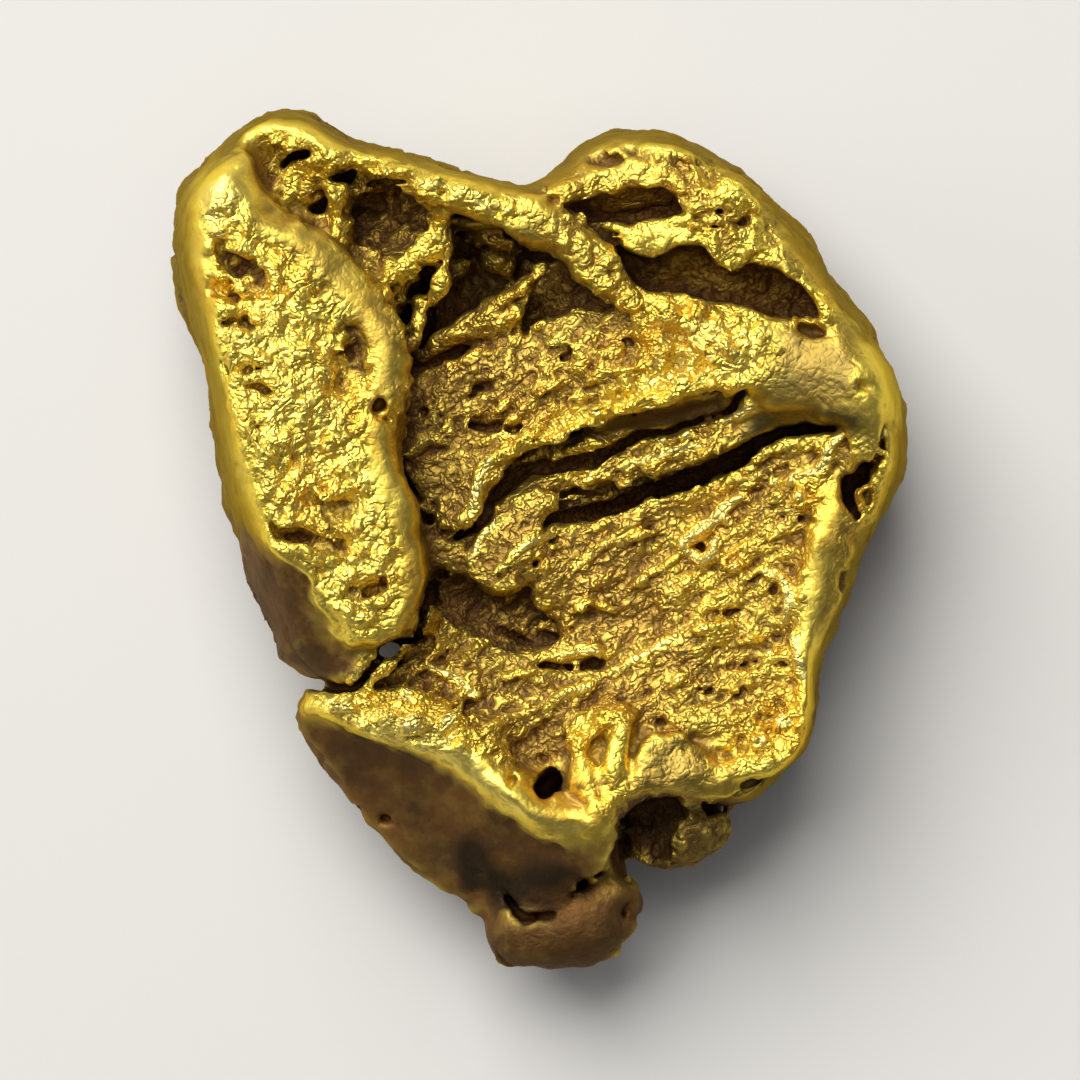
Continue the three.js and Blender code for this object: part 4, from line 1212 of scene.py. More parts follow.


# Each texture's regions, and the regions of stain, film and rubbing with their painted shade and highlight:
# their outlines, fades and strengths.
# The steep face under the sheet's lip, which takes painted shade as stain and film, and no crumpling.
LIP_FACE = (
    (0.9, 2.3), (1.5, 2.72), (2, 2.9), (3, 3.1), (3.5, 3.33), (4.55, 3.42), (4.4, 3.1), (3, 2.6), (1.9, 2.5),
)
HAMMERED = (
    Region((
        (-7.75, 7.7), (-7.5, 6.4), (-7.45, 4.5), (-7, 2.6), (-6.3, 0.2), (-5.3, -0.7), (-4.7, -2.1),
        (-3.7, -2.1), (-3.2, -1), (-3.5, 0.5), (-4, 1.6), (-4.05, 2.8), (-3.9, 4), (-4.3, 5), (-4.9, 5.9),
        (-5.6, 6.6), (-6.4, 7), (-6.9, 7.8), (-7.3, 8),
    )),
    Region(((2.5, 5.2), (3.8, 5.35), (5, 4.95), (5.5, 4.2), (5, 3.6), (3.6, 3.5), (2.7, 4)), 0.6),
    Region(((5.2, 5), (6.6, 4.9), (7.6, 4.2), (7.4, 3.3), (6.2, 3.2), (5.2, 3.4)), 0.8, 0.12),
    Region((
        (-5.4, -3.55), (-4, -3.5), (-2.2, -3.6), (-1.2, -4.8), (-2.4, -4.85), (-3.4, -4.7), (-4.6, -4.2),
    )),
    Region(((4.4, -4), (5.6, -3.6), (6.3, -4.4), (5.5, -5.2), (4.3, -5.3))),
    Region(((3.4, 8.9), (5.2, 7.9), (5.3, 6.4), (4, 6.4), (3.4, 7.6))),
    Region((
        (0.2, 8), (1, 9), (2.4, 9.2), (4.2, 8.6), (5.6, 7), (6.6, 5.4), (6.4, 5), (4, 6.4), (1.7, 7.1),
    ), 0.6, 0.45),
    Region((
        (-6.4, 9.4), (-5.6, 9.3), (-4.4, 8.9), (-2.4, 8.4), (-2.1, 7), (-2.9, 5.9), (-3.3, 5.3), (-4.1, 6.3),
        (-5.4, 7.6), (-6.3, 8.2),
    )),
    Region((
        (-4.2, 8.95), (-2.4, 8.5), (-0.8, 7.9), (-0.5, 7.3), (-1.5, 7.5), (-2.6, 7.9), (-4.2, 8.6),
    ), 0.3, 0.8),
    Region((
        (-0.4, 7.9), (0.6, 7.2), (1.6, 6.5), (2.4, 5.7), (1.9, 5.5), (1, 6.1), (0.1, 6.8), (-0.6, 7.5),
    ), 0.3, 0.5),
    Region((
        (2.1, -4.4), (3.9, -4.4), (4.3, -5.6), (3.2, -5.9), (2, -5.9), (1.2, -6.4), (0.6, -5.2), (1, -4),
    ), 0.4, 0.25),
    Region(((1.6, -5.9), (3.2, -5.9), (4.6, -6.2), (4.4, -7.4), (2.9, -7.8), (2.2, -7.6)), 0.4, 0.7),
    Region(((-0.9, -8.8), (1.2, -8), (2.4, -8.4), (1.4, -9.8), (-0.6, -9.8)), 0.5, 0.12),
    Region((
        (-2.2, 7.3), (-0.3, 6.9), (0.3, 6.4), (-0.9, 5.8), (-2.3, 4.9), (-3.1, 4.3), (-3.3, 5.4),
        (-2.3, 6.5),
    ), 0.3, 0.7),
    Region((
        (0.4, 8), (2.8, 8.2), (3.4, 7.6), (1.2, 7.2), (1.7, 6.8), (4.2, 6.4), (6.5, 5.8), (6.5, 5),
        (2.2, 5.7),
    ), 0.4, 0.7),
    Region((
        (6.7, 2.3), (7.6, 2.4), (8.3, 1.6), (7.4, -0.4), (7, -2), (6.8, -1), (7, 0.2), (7.1, 1.2),
    ), 0.4, 0.5),
)
# Stained patches: part river stain, part painted shade in the slots, on the face under the lip and on the
# slopes and cavities that face away from the light. Past 1.35 they turn to painted deep shade.
STAINED_AND_SHADED = (
    Region((
        (-5.6, -4), (-4.3, -4.4), (-2.85, -4.85), (-1.85, -5.35), (-1.05, -6.1), (0, -6.75), (0.9, -7.05),
        (1.6, -7.2), (1, -8.1), (0.3, -8.6), (-0.7, -8.6), (-1.6, -9.2), (-3.4, -8), (-5.2, -5.8),
        (-6.2, -4.4),
    ), 0.5, 1.35),
    Region(LIP_FACE, 0.15, 0.75),
    Region(((-2.4, -6.8), (-0.6, -7.2), (1.3, -7.6), (0.9, -8.4), (-0.8, -8.7), (-2.6, -8)), 1.2, 2.4),
    Region((
        (-6.9, 0.2), (-6.2, -0.3), (-5.6, -0.7), (-5, -2), (-4.4, -2.6), (-4, -3.2), (-6.2, -3.4),
        (-7.4, -0.8),
    ), 0.6, 1.6),
    Region(((1.8, -6.2), (2.4, -5.9), (3.1, -6), (3.1, -7.4), (2.2, -7.7), (1.7, -7.2)), 0.4, 1.8),
    Region(((2.6, -6.2), (4.6, -6.2), (4.6, -7.4), (2.6, -7.9)), 0.4, 0.9),
    Region(((-0.9, -8.6), (1, -8.2), (2.5, -8.2), (2.4, -9.2), (0.6, -10.2), (-1.4, -9.6)), 0.4, 1.6),
    Region(((-7.5, 6.8), (-6.9, 6.8), (-6.3, 6.1), (-6.4, 5.8), (-7.3, 6.3)), 0.3, 0.6),
    Region(((-7.4, 6.1), (-6.9, 5.8), (-6.7, 5.5), (-7.3, 5.5)), 0.3, 0.5),
    Region(((-7.4, 5.15), (-6.4, 5.1), (-6.3, 4.85), (-7.4, 4.9)), 0.2, 0.5),
    Region(((-7.3, 4.2), (-6.3, 4.15), (-6.3, 3.85), (-7.2, 3.85)), 0.2, 0.55),
    Region(((-6.1, 0.4), (-5.2, 0.1), (-4.5, 0), (-4.5, -0.4), (-5.4, -0.25), (-6.1, -0.1)), 0.25, 0.55),
    Region(((-5.6, 1.2), (-4.6, 1.1), (-4.3, 0.7), (-5.2, 0.5)), 0.4, 0.35),
    Region(((-4.4, -0.9), (-3.4, -0.8), (-3.3, -1.4), (-4.3, -1.5)), 0.4, 0.45),
    Region(((-4.9, 4.9), (-4.2, 4.9), (-4, 3.6), (-4.7, 3.5)), 0.4, 0.25),
    Region((
        (-2.2, 7.3), (-1.2, 7.3), (-0.3, 6.9), (0.3, 6.4), (-0.9, 5.8), (-2.3, 4.9), (-2.9, 4.4),
        (-2.3, 5.6),
    ), 0.4, 0.2),
    Region(((-2.5, -1), (-1.3, -1.2), (-0.4, -2.3), (-0.6, -2.6), (-1.7, -1.9), (-2.6, -1.3)), 0.4, 0.5),
    Region((
        (-3.3, 3.9), (-1.8, 4.2), (0.8, 5.2), (1.8, 5), (0, 4.2), (-1.2, 2.4), (-1.8, 0.6), (-2.8, 0.2),
    ), 0.9, 0.35),
    Region((
        (-3, 0.4), (-0.6, 1.3), (1.4, 0.5), (2.4, -0.3), (0.6, -1.2), (-0.4, -1.6), (-2.6, -0.9),
    ), 0.9, 0.3),
    Region(((6.8, 2.4), (7.8, 2.3), (7.6, 0.6), (7.2, -2.2), (6.6, -2.2), (6.9, 0.4)), 0.4, 0.3),
    Region(((0.9, 8.6), (1.2, 9), (1.9, 9.1), (2.4, 8.8), (1.7, 8.5)), 0.3, 0.5),
)
# Filmed patches: part olive film, part painted shade on the faces under the sheet's lip and under the right
# ridge, and a painted darkening that dulls the right ridge's highlight.
FILMED_AND_SHADED = (
    Region(((2.2, -5.6), (2.4, -4.7), (3.3, -4.5), (3.9, -4.9), (4, -5.6), (3.2, -5.8)), 0.4, 0.75),
    Region((
        (5, 4.9), (6, 5.1), (7, 4.7), (7.5, 4.2), (7.5, 3.3), (6.4, 3.1), (5.2, 3.2), (4.9, 4.1),
    ), 0.8, 1.0),
    Region(LIP_FACE, 0.15, 1.5),
    Region(((4.4, 2.2), (5.2, 2.95), (6.4, 3.1), (7.4, 3), (7.3, 2.55), (5.6, 2.5)), 0.25, 1.3),
    Region(((0.3, 0.7), (1, 1), (2, 1.3), (3, 1.6), (4.2, 2.2), (4, 1.6), (2.4, 1)), 0.15, 1.1),
    Region(((-0.9, -8.6), (1, -8.2), (2.5, -8.2), (2.4, -9.2), (0.6, -10.2), (-1.4, -9.6)), 0.4, 0.9),
    Region(((2.6, -6.2), (4.6, -6.2), (4.6, -7.6), (2.6, -7.9)), 0.4, 0.9),
    Region(((-7.9, 8.6), (-7, 8.4), (-6.9, 7.4), (-7.4, 6.8), (-8, 7.4)), 0.5, 0.35),
)
# Rubbed patches: part gold rubbed clean, part painted highlight on crests, flakes and the tops that face the
# light.
RUBBED_AND_HIGHLIT = (
    Region((
        (-8, 8.2), (-7.7, 6.4), (-7.5, 4.5), (-7.1, 2.6), (-6.5, 0.4), (-5.6, -0.5), (-4.8, -2.2),
        (-3.9, -2.2), (-3.1, -1), (-3.3, 0.5), (-3.8, 1.8), (-4.2, 3.2), (-4.6, 4.6), (-5.3, 5.8), (-6.2, 7),
        (-6.8, 8.3),
    ), 0.8, 1.2),
    Region(((3.8, 0), (6, 0.4), (6, -3.4), (4.6, -3.6), (3.6, -2)), 0.9, 0.5),
    Region((
        (2.3, 5.3), (3.8, 5.4), (5.4, 4.9), (5.3, 3.9), (4.6, 3.5), (2.6, 3.1), (1.6, 3), (2.4, 4.2),
    ), 0.8, 1.35),
    Region((
        (-0.5, 2.1), (1.2, 2.6), (1.8, 3), (3.4, 3.4), (4.7, 3.7), (4.4, 4.1), (2.4, 3.6), (0.6, 3),
        (-0.4, 2.5),
    ), 0.4, 0.9),
    Region((
        (-5.6, -3.8), (-4.6, -3.5), (-3.2, -3.7), (-2, -4), (-1.4, -4.9), (-0.7, -5.6), (0.4, -6.3),
        (1.5, -6.3), (1.5, -6.7), (0.5, -6.9), (-0.7, -6.4), (-2.2, -5.35), (-3.6, -4.85),
    ), 0.5, 1.4),
    Region(((0.6, -4.4), (1.3, -4), (2.1, -4.1), (2.1, -5.8), (1.2, -6.4), (0.8, -5.2)), 0.4, 0.9),
    Region(((4.2, -5.2), (5.4, -5.2), (6.4, -4.6), (6.3, -3.6), (5.6, -3.6), (4.6, -4.2)), 0.5),
    Region((
        (6.8, 1.2), (6.2, 1.6), (5.8, 1.1), (6.2, 0.2), (6.1, -1), (5.9, -2.6), (6.3, -3.6), (6.5, -2),
        (6.8, 0),
    ), 0.3, 0.8),
    Region((
        (-4.2, 8.9), (-2.4, 8.5), (-0.8, 7.9), (-0.5, 7.3), (-1.5, 7.5), (-2.6, 7.9), (-4.2, 8.6),
    ), 0.4, 1.4),
    Region(((-8, 8.2), (-7.8, 7), (-7.3, 6.6), (-6.9, 7.2), (-6.7, 8), (-7.2, 8.6)), 0.5, 1.4),
    Region(((-5.3, 9.5), (-4.8, 9.2), (-5, 8.4), (-5.4, 8.4)), 0.4, 0.8),
    Region(((4.1, 6.4), (5.2, 6.4), (5.3, 7), (4.8, 8.2), (3.8, 8.8), (4, 7.9), (4.9, 7.3)), 0.4, 0.8),
    Region(((1.9, 6.7), (3.8, 6.8), (3.7, 7.4), (2.6, 7.3)), 0.3),
    Region(((2.6, -0.2), (4.2, 1.2), (4.8, 1.1), (4.2, -0.4), (3.6, -1)), 0.6, 0.7),
    Region(((7.4, 4.5), (8, 4.3), (8.5, 3.4), (8.4, 2.6), (7.6, 2.9), (7.3, 3.6)), 0.4, 0.9),
    Region(((-6.6, 9.4), (-5.4, 9.2), (-5.2, 7.8), (-5.9, 7.6), (-6.4, 8.4)), 0.4, 0.9),
    Region((
        (-5, 8.3), (-4.4, 8.2), (-4.5, 6.7), (-3.2, 6.3), (-2.2, 7.6), (-2.1, 5.9), (-3.6, 5.6), (-5, 6.9),
    ), 0.4, 0.7),
)
CRUMPLED = (
    Region((
        (-3.3, 3.5), (-1.9, 4.3), (0.2, 5.2), (2.4, 5.4), (3, 4.6), (3.1, 3.9), (4.4, 3.6), (4.9, 3.2),
        (4.6, 2.6), (5.6, 2.3), (6.9, 2.3), (6.6, 1.2), (6.2, 0), (6, -2), (6, -3.6), (5, -4.4), (3.4, -4.4),
        (2, -4.3), (0.8, -5), (-0.8, -5.2), (-2, -4.4), (-4.8, -3.7), (-2.8, -1.5), (-2.5, -0.4),
        (-2.8, 0.8), (-3.3, 2),
    )),
    Region(((-0.2, 6.2), (2, 5.9), (2.2, 5.3), (-0.8, 4.9), (-2.8, 4.1), (-2.6, 4.6), (-1.2, 5.5))),
    Region(LIP_FACE, 0.15, -0.75),
)


def inner_mask(x: Array, y: Array) -> Array:
    """Marks the ground inside the rims.

    Args:
        x: The places' x.
        y: The places' y.

    Returns:
        Zero at the outline, and one where it is at least 0.8 mm away.
    """
    outline = Region(tuple(station[:2] for station in Body().rim), fade=1.6)
    tail = Region((
        (1, -6), (4.8, -5.9), (4.9, -7), (3.4, -8.1), (1.8, -8.4), (2.9, -9.2), (0.5, -10.6), (-1.6, -9.4),
        (-1.2, -8),
    ), fade=1.0)
    return np.clip(2 * np.maximum(outline.mask(x, y), tail.mask(x, y)) - 1, 0, 1)


def flake_mask(x: Array, y: Array, reach: float = 0.45) -> Array:
    """Marks the crests and flakes of the crumpled ground.

    Args:
        x: The places' x.
        y: The places' y.
        reach: How far from a crest's path its mark may go.

    Returns:
        One out to 0.7 radii from their paths, falling to zero at 1.7 radii.
    """
    share = np.zeros(len(x))
    crests = [smooth_curve(np.array(crest), closed=False) for crest in CRESTS]
    flakes = [np.array([(*flake[:2], 0, flake[3])] * 2) for flake in FLAKES]
    for curve in crests + flakes:
        low = curve[:, :2].min(axis=0) - reach
        high = curve[:, :2].max(axis=0) + reach
        near = (x > low[0]) & (x < high[0]) & (y > low[1]) & (y < high[1])
        away = np.full(near.sum(), np.inf)
        for start, end in zip(curve[:-1], curve[1:], strict=True):
            away = np.minimum(away, to_segment(start, end, x[near], y[near])[1] / start[3])
        share[near] = np.maximum(share[near], np.clip(1.7 - away, 0, 1))
    return share


def texture_masks(places: Array) -> tuple[Array, Array]:
    """Works out how hammered and how crumpled the surface is: the regions, faded at the rims and low down.

    Args:
        places: Rows of x, y, z.

    Returns:
        The hammered share and the crumpled share of each place, from zero to one.
    """
    x, y, z = places.T
    inner = inner_mask(x, y)
    top = np.clip((z - 3.6 + 1.9 * inner) / 0.7, 0, 1) * np.clip(inner * 1.8, 0, 1)
    shares = []
    for regions in (HAMMERED, CRUMPLED):
        total = np.zeros(len(places), np.float32)
        for region in regions:
            total += region.mask(x, y)
        shares.append(np.clip(total, 0, 1) * top)
    return shares[0], shares[1]


@dataclass(frozen=True)
class Layer:
    """One layer of small relief.

    Attributes:
        height: How high it stands.
        size: The size of its cells.
        shift: How far along every axis its noise is moved, so that no two layers match.
        lumpy: Whether it is round lumps parted by creases, and not rolling swells.
        drawn: How much it is drawn together along the lie of the flakes, across it and up.
    """

    height: float
    size: float
    shift: float = 0.0
    lumpy: bool = False
    drawn: tuple[float, float, float] | None = None

    def rise(self, noise: Noise, places: Array, lie: float = 0.0) -> Array:
        """Works out the layer's relief.

        Args:
            noise: The noise that it is made of.
            places: Rows of x, y, z.
            lie: The direction of the flakes, in degrees from +X.

        Returns:
            Its height at each place.
        """
        if self.drawn:
            c, s = math.cos(math.radians(lie)), math.sin(math.radians(lie))
            x, y, z = places.T
            places = np.stack([x * c + y * s, y * c - x * s, z], axis=1) * np.array(self.drawn)
        shape = noise.lumps if self.lumpy else noise.rolling
        return self.height * shape(places + self.shift, self.size)


@dataclass(frozen=True)
class Weathering:
    """The small relief: hammered grain, crumpled flakes, and the gentle dents of the river-worn skin.

    Attributes:
        seed: Chooses the noise.
        lie: The direction, in degrees from +X, that the flakes run in.
        reach: How far from the surface the field is changed.
        fine_reach: How far from it the finest lumps change it.
        skin: The layers that go over everything.
        grain: The layers of hammered ground: lumps of two sizes, parted by creases, on gentle swells.
        flakes: The layers of crumpled ground: swells, lumps and furrows, drawn out along the lie.
        wear: The layers of the worn walls: swells and fine lumps.
        dent: The depth, the spacing and the radius in cells of the odd dents in the walls.
        lap: The depth, the size and the width of the laps where the gold has folded over itself.
        fine: The layers that break up every surface.
        fine_height: How high those stand.
    """

    seed: int = 41
    lie: float = 33.0
    reach: float = 0.6
    fine_reach: float = 0.3
    skin: tuple[Layer, ...] = (Layer(0.06, 2.4), Layer(0.035, 0.95, 7))
    grain: tuple[Layer, ...] = (Layer(0.14, 1.3, 11), Layer(0.26, 0.66, 0, True), Layer(0.18, 0.34, 5, True))
    flakes: tuple[Layer, ...] = (
        Layer(0.26, 2.6, 37),
        Layer(0.26, 1.3, 17, drawn=(0.5, 1, 1)),
        Layer(0.20, 0.62, 13, True, (0.5, 1, 1)),
        Layer(0.17, 0.34, 23, True),
        Layer(0.16, 0.34, 29, True, (0.22, 1, 0.6)),
    )
    wear: tuple[Layer, ...] = (Layer(0.15, 1.6, 41), Layer(0.08, 0.7, 43), Layer(0.07, 0.4, 31, True))
    dent: tuple[float, float, float] = (0.16, 1.4, 0.2)
    lap: tuple[float, float, float] = (0.13, 2.1, 0.06)
    fine: tuple[Layer, ...] = (Layer(1.0, 0.42, 0, True), Layer(1.0, 0.21, 19, True))
    fine_height: float = 0.09

    def work(self, gold: GoldField) -> None:
        """Raises and sinks the surface by noise, region by region.

        Args:
            gold: The field that is changed.
        """
        near, places = self._near(gold, self.reach)
        hammered, crumpled = texture_masks(places)
        noise = Noise(self.seed)
        rise = self._relief(self.skin, noise, places)
        wall = self._wall(gold, near, places) * np.clip(1 - hammered - crumpled, 0, 1)
        chosen = wall > 0.02
        rise[chosen] += wall[chosen] * self._worn(noise, places[chosen])
        for share, layers in ((hammered, self.grain), (crumpled, self.flakes)):
            chosen = share > 0
            rise[chosen] += share[chosen] * self._relief(layers, noise, places[chosen])
        gold.values[near] -= rise

    def roughen(self, gold: GoldField) -> None:
        """Breaks up every surface by fine lumps, also inside the cracks, and wears the feet flat.

        Args:
            gold: The field that is changed.
        """
        near, places = self._near(gold, self.fine_reach)
        hammered, crumpled = texture_masks(places)
        share = 0.2 + 0.3 * self._wall(gold, near, places)
        share += (1 - share) * np.clip(hammered + crumpled, 0, 1)
        rise = self._relief(self.fine, Noise(self.seed + 1), places)
        gold.values[near] -= self.fine_height * rise * share
        np.maximum(gold.values, -gold.z, out=gold.values)

    @staticmethod
    def _near(gold: GoldField, reach: float) -> tuple[tuple[Array, ...], Array]:
        """The lattice points that lie within reach of the surface, and their places."""
        near = np.nonzero(np.abs(gold.values) < reach)
        return near, np.stack([gold.x[near[0], 0], gold.y[0, near[1]], gold.z[near[2]]], axis=1)

    @staticmethod
    def _wall(gold: GoldField, near: tuple[Array, ...], places: Array) -> Array:
        """Finds how much of a side wall each place is: upright and low down, or upright away from the rims.

        Args:
            gold: The field.
            near: The lattice numbers of the places.
            places: Rows of x, y, z.

        Returns:
            From zero to one at each place.
        """
        x, y, z = places.T
        across, along, up = near
        over = np.minimum(up + 1, gold.values.shape[2] - 1)
        under = np.maximum(up - 1, 0)
        fall = np.abs(gold.values[across, along, over] - gold.values[across, along, under])
        upright = np.clip(1.3 - 0.8 * fall / gold.step, 0, 1)
        low = np.clip((5.0 - z) / 1.6, 0.25, 1)
        belly = 0.6 * np.clip((1.8 - z) / 0.8, 0, 1)
        return np.maximum(upright * np.maximum(low, inner_mask(x, y)), belly)

    def _relief(self, layers: tuple[Layer, ...], noise: Noise, places: Array) -> Array:
        """The sum of some layers' heights at each place."""
        return sum(layer.rise(noise, places, self.lie) for layer in layers)

    def _worn(self, noise: Noise, places: Array) -> Array:
        """Works out a worn wall: its layers, less round dents, less laps along the zero level of a noise.

        Args:
            noise: The noise that they are made of.
            places: Rows of x, y, z.

        Returns:
            The wall's height at each place.
        """
        depth, spacing, radius = self.dent
        dents = depth * np.clip(1 - noise.nearest_dot(places + 3, spacing) / radius, 0, 1)
        depth, size, width = self.lap
        level = np.abs(noise.rolling(places * np.array([1.0, 1.0, 1.7]) + 47, size))
        return self._relief(self.wear, noise, places) - dents - depth * np.clip(1 - level / width, 0, 1)


# -------------------- from field to mesh


CORNERS = tuple(np.ndindex(2, 2, 2))


def corner_view(lattice: Array, corner: tuple[int, ...]) -> Array:
    """One corner of every cell of a lattice."""
    return lattice[tuple(slice(c, n - 1 + c) for c, n in zip(corner, lattice.shape, strict=True))]


def unpinch(values: Array) -> None:
    """Fills lattice points until the surface touches itself nowhere.

    It would do so where two corners across a cell's face are alone on their side of the surface, or two
    corners right across the cell are.

    Args:
        values: The field, changed in place.
    """
    faint = -1e-3
    most_rounds = 30
    for _ in range(most_rounds):
        solid = values < 0
        fill = np.zeros_like(solid)
        for axis in range(3):
            steps = [c for c in CORNERS if not c[axis]]
            spans = []
            for step in steps:
                span = [slice(c, n - 1 + c) for c, n in zip(step, solid.shape, strict=True)]
                span[axis] = slice(None)
                spans.append(tuple(span))
            a, b, c, d = (solid[span] for span in spans)
            pinched = (a == d) & (b == c) & (a != b)
            for span, corner in zip(spans, (a, b, c, d), strict=True):
                fill[span] |= pinched & ~corner
        count = sum(corner_view(solid, corner).astype(np.int8) for corner in CORNERS)
        for corner in CORNERS[:4]:
            across = tuple(1 - c for c in corner)
            beside = (corner[0], corner[1], 1 - corner[2])
            one, other = corner_view(solid, corner), corner_view(solid, across)
            corner_view(fill, beside)[:] |= (count == 2) & one & other
            corner_view(fill, corner)[:] |= (count == 6) & ~one & ~other
        fill &= ~solid
        if not fill.any():
            return
        values[fill] = faint


def wrap(values: Array, low: tuple[float, float, float], step: float) -> tuple[Array, Array]:
    """Wraps a net of quads round a field's zero level.

    Each cell that the surface crosses gets one vertex, at the mean of the crossings of the cell's edges,
    and each lattice edge that it crosses gets one quad, through the four cells round that edge.

    Args:
        values: The field on its lattice.
        low: The lattice's lowest corner.
        step: Its spacing.

    Returns:
        The vertices' places, and the quads' vertex numbers.
    """
    solid = values < 0
    count = sum(corner_view(solid, corner).astype(np.int8) for corner in CORNERS)
    crossed = (count > 0) & (count < 8)
    cells = np.argwhere(crossed)
    number = np.full(crossed.shape, -1, np.int32)
    number[crossed] = np.arange(len(cells))
    level = {corner: corner_view(values, corner)[crossed] for corner in CORNERS}
    total = np.zeros((len(cells), 3))
    crossings = np.zeros(len(cells))
    quads = []
    for axis in range(3):
        unit = np.eye(3, dtype=int)[axis]
        for corner in (c for c in CORNERS if not c[axis]):
            a, b = level[corner], level[tuple(corner + unit)]
            crosses = (a < 0) != (b < 0)
            t = np.where(crosses, a / np.where(crosses, a - b, 1), 0)
            total += crosses[:, None] * (np.array(corner) + t[:, None] * unit)
            crossings += crosses
        lower = [slice(None)] * 3
        upper = [slice(None)] * 3
        lower[axis], upper[axis] = slice(0, -1), slice(1, None)
        edges = np.argwhere(solid[tuple(lower)] != solid[tuple(upper)])
        u, v = np.eye(3, dtype=int)[[(axis + 1) % 3, (axis + 2) % 3]]
        round_edge = [number[tuple((edges - back).T)] for back in (u + v, v, 0 * u, u)]
        quad = np.stack(round_edge, axis=1)
        outward = solid[tuple(edges.T)]
        quads.append(np.where(outward[:, None], quad, quad[:, ::-1]))
    return np.array(low) + step * (cells + total / crossings[:, None]), np.vstack(quads)


def largest_piece(vertices: Array, quads: Array) -> tuple[Array, Array]:
    """Keeps the largest of the surfaces that the quads make.

    Each vertex takes the lowest number among its neighbours, over and over, until the numbers settle.

    Args:
        vertices: The vertices' places.
        quads: The quads' vertex numbers.

    Returns:
        The vertices and quads of that surface.
    """
    label = np.arange(len(vertices))
    while True:
        spread = label.copy()
        np.minimum.at(spread, quads.ravel(), np.repeat(label[quads].min(axis=1), 4))
        spread = spread[spread]
        if np.array_equal(spread, label):
            break
        label = spread
    kept = label == np.bincount(label).argmax()
    renumber = np.cumsum(kept) - 1
    return vertices[kept], renumber[quads[kept[quads[:, 0]]]]


def box_blur(lattice: Array, cells: int) -> Array:
    """Averages a lattice over a cube round each point, by running sums along each axis.

    Args:
        lattice: The values.
        cells: How many cells the cube reaches each way.

    Returns:
        The means.
    """
    for axis in range(3):
        pad = [(0, 0)] * 3
        pad[axis] = (cells + 1, cells)
        sums = np.cumsum(np.pad(lattice, pad, mode="edge"), axis=axis, dtype=np.float64)
        ahead = [slice(None)] * 3
        behind = [slice(None)] * 3
        ahead[axis] = slice(2 * cells + 1, None)
        behind[axis] = slice(None, -(2 * cells + 1))
        lattice = ((sums[tuple(ahead)] - sums[tuple(behind)]) / (2 * cells + 1)).astype(np.float32)
    return lattice


def sample(lattice: Array, places: Array) -> Array:
    """Reads a lattice between its points, by straight lines along each axis.

    Args:
        lattice: The values.
        places: Rows of x, y, z in lattice steps.

    Returns:
        The value at each place.
    """
    places = np.clip(places, 0, np.array(lattice.shape) - 1.001)
    cell = places.astype(int)
    part = places - cell
    total = np.zeros(len(places))
    for corner in CORNERS:
        weight = np.prod(np.where(corner, part, 1 - part), axis=1)
        total += weight * lattice[tuple((cell + corner).T)]
    return total


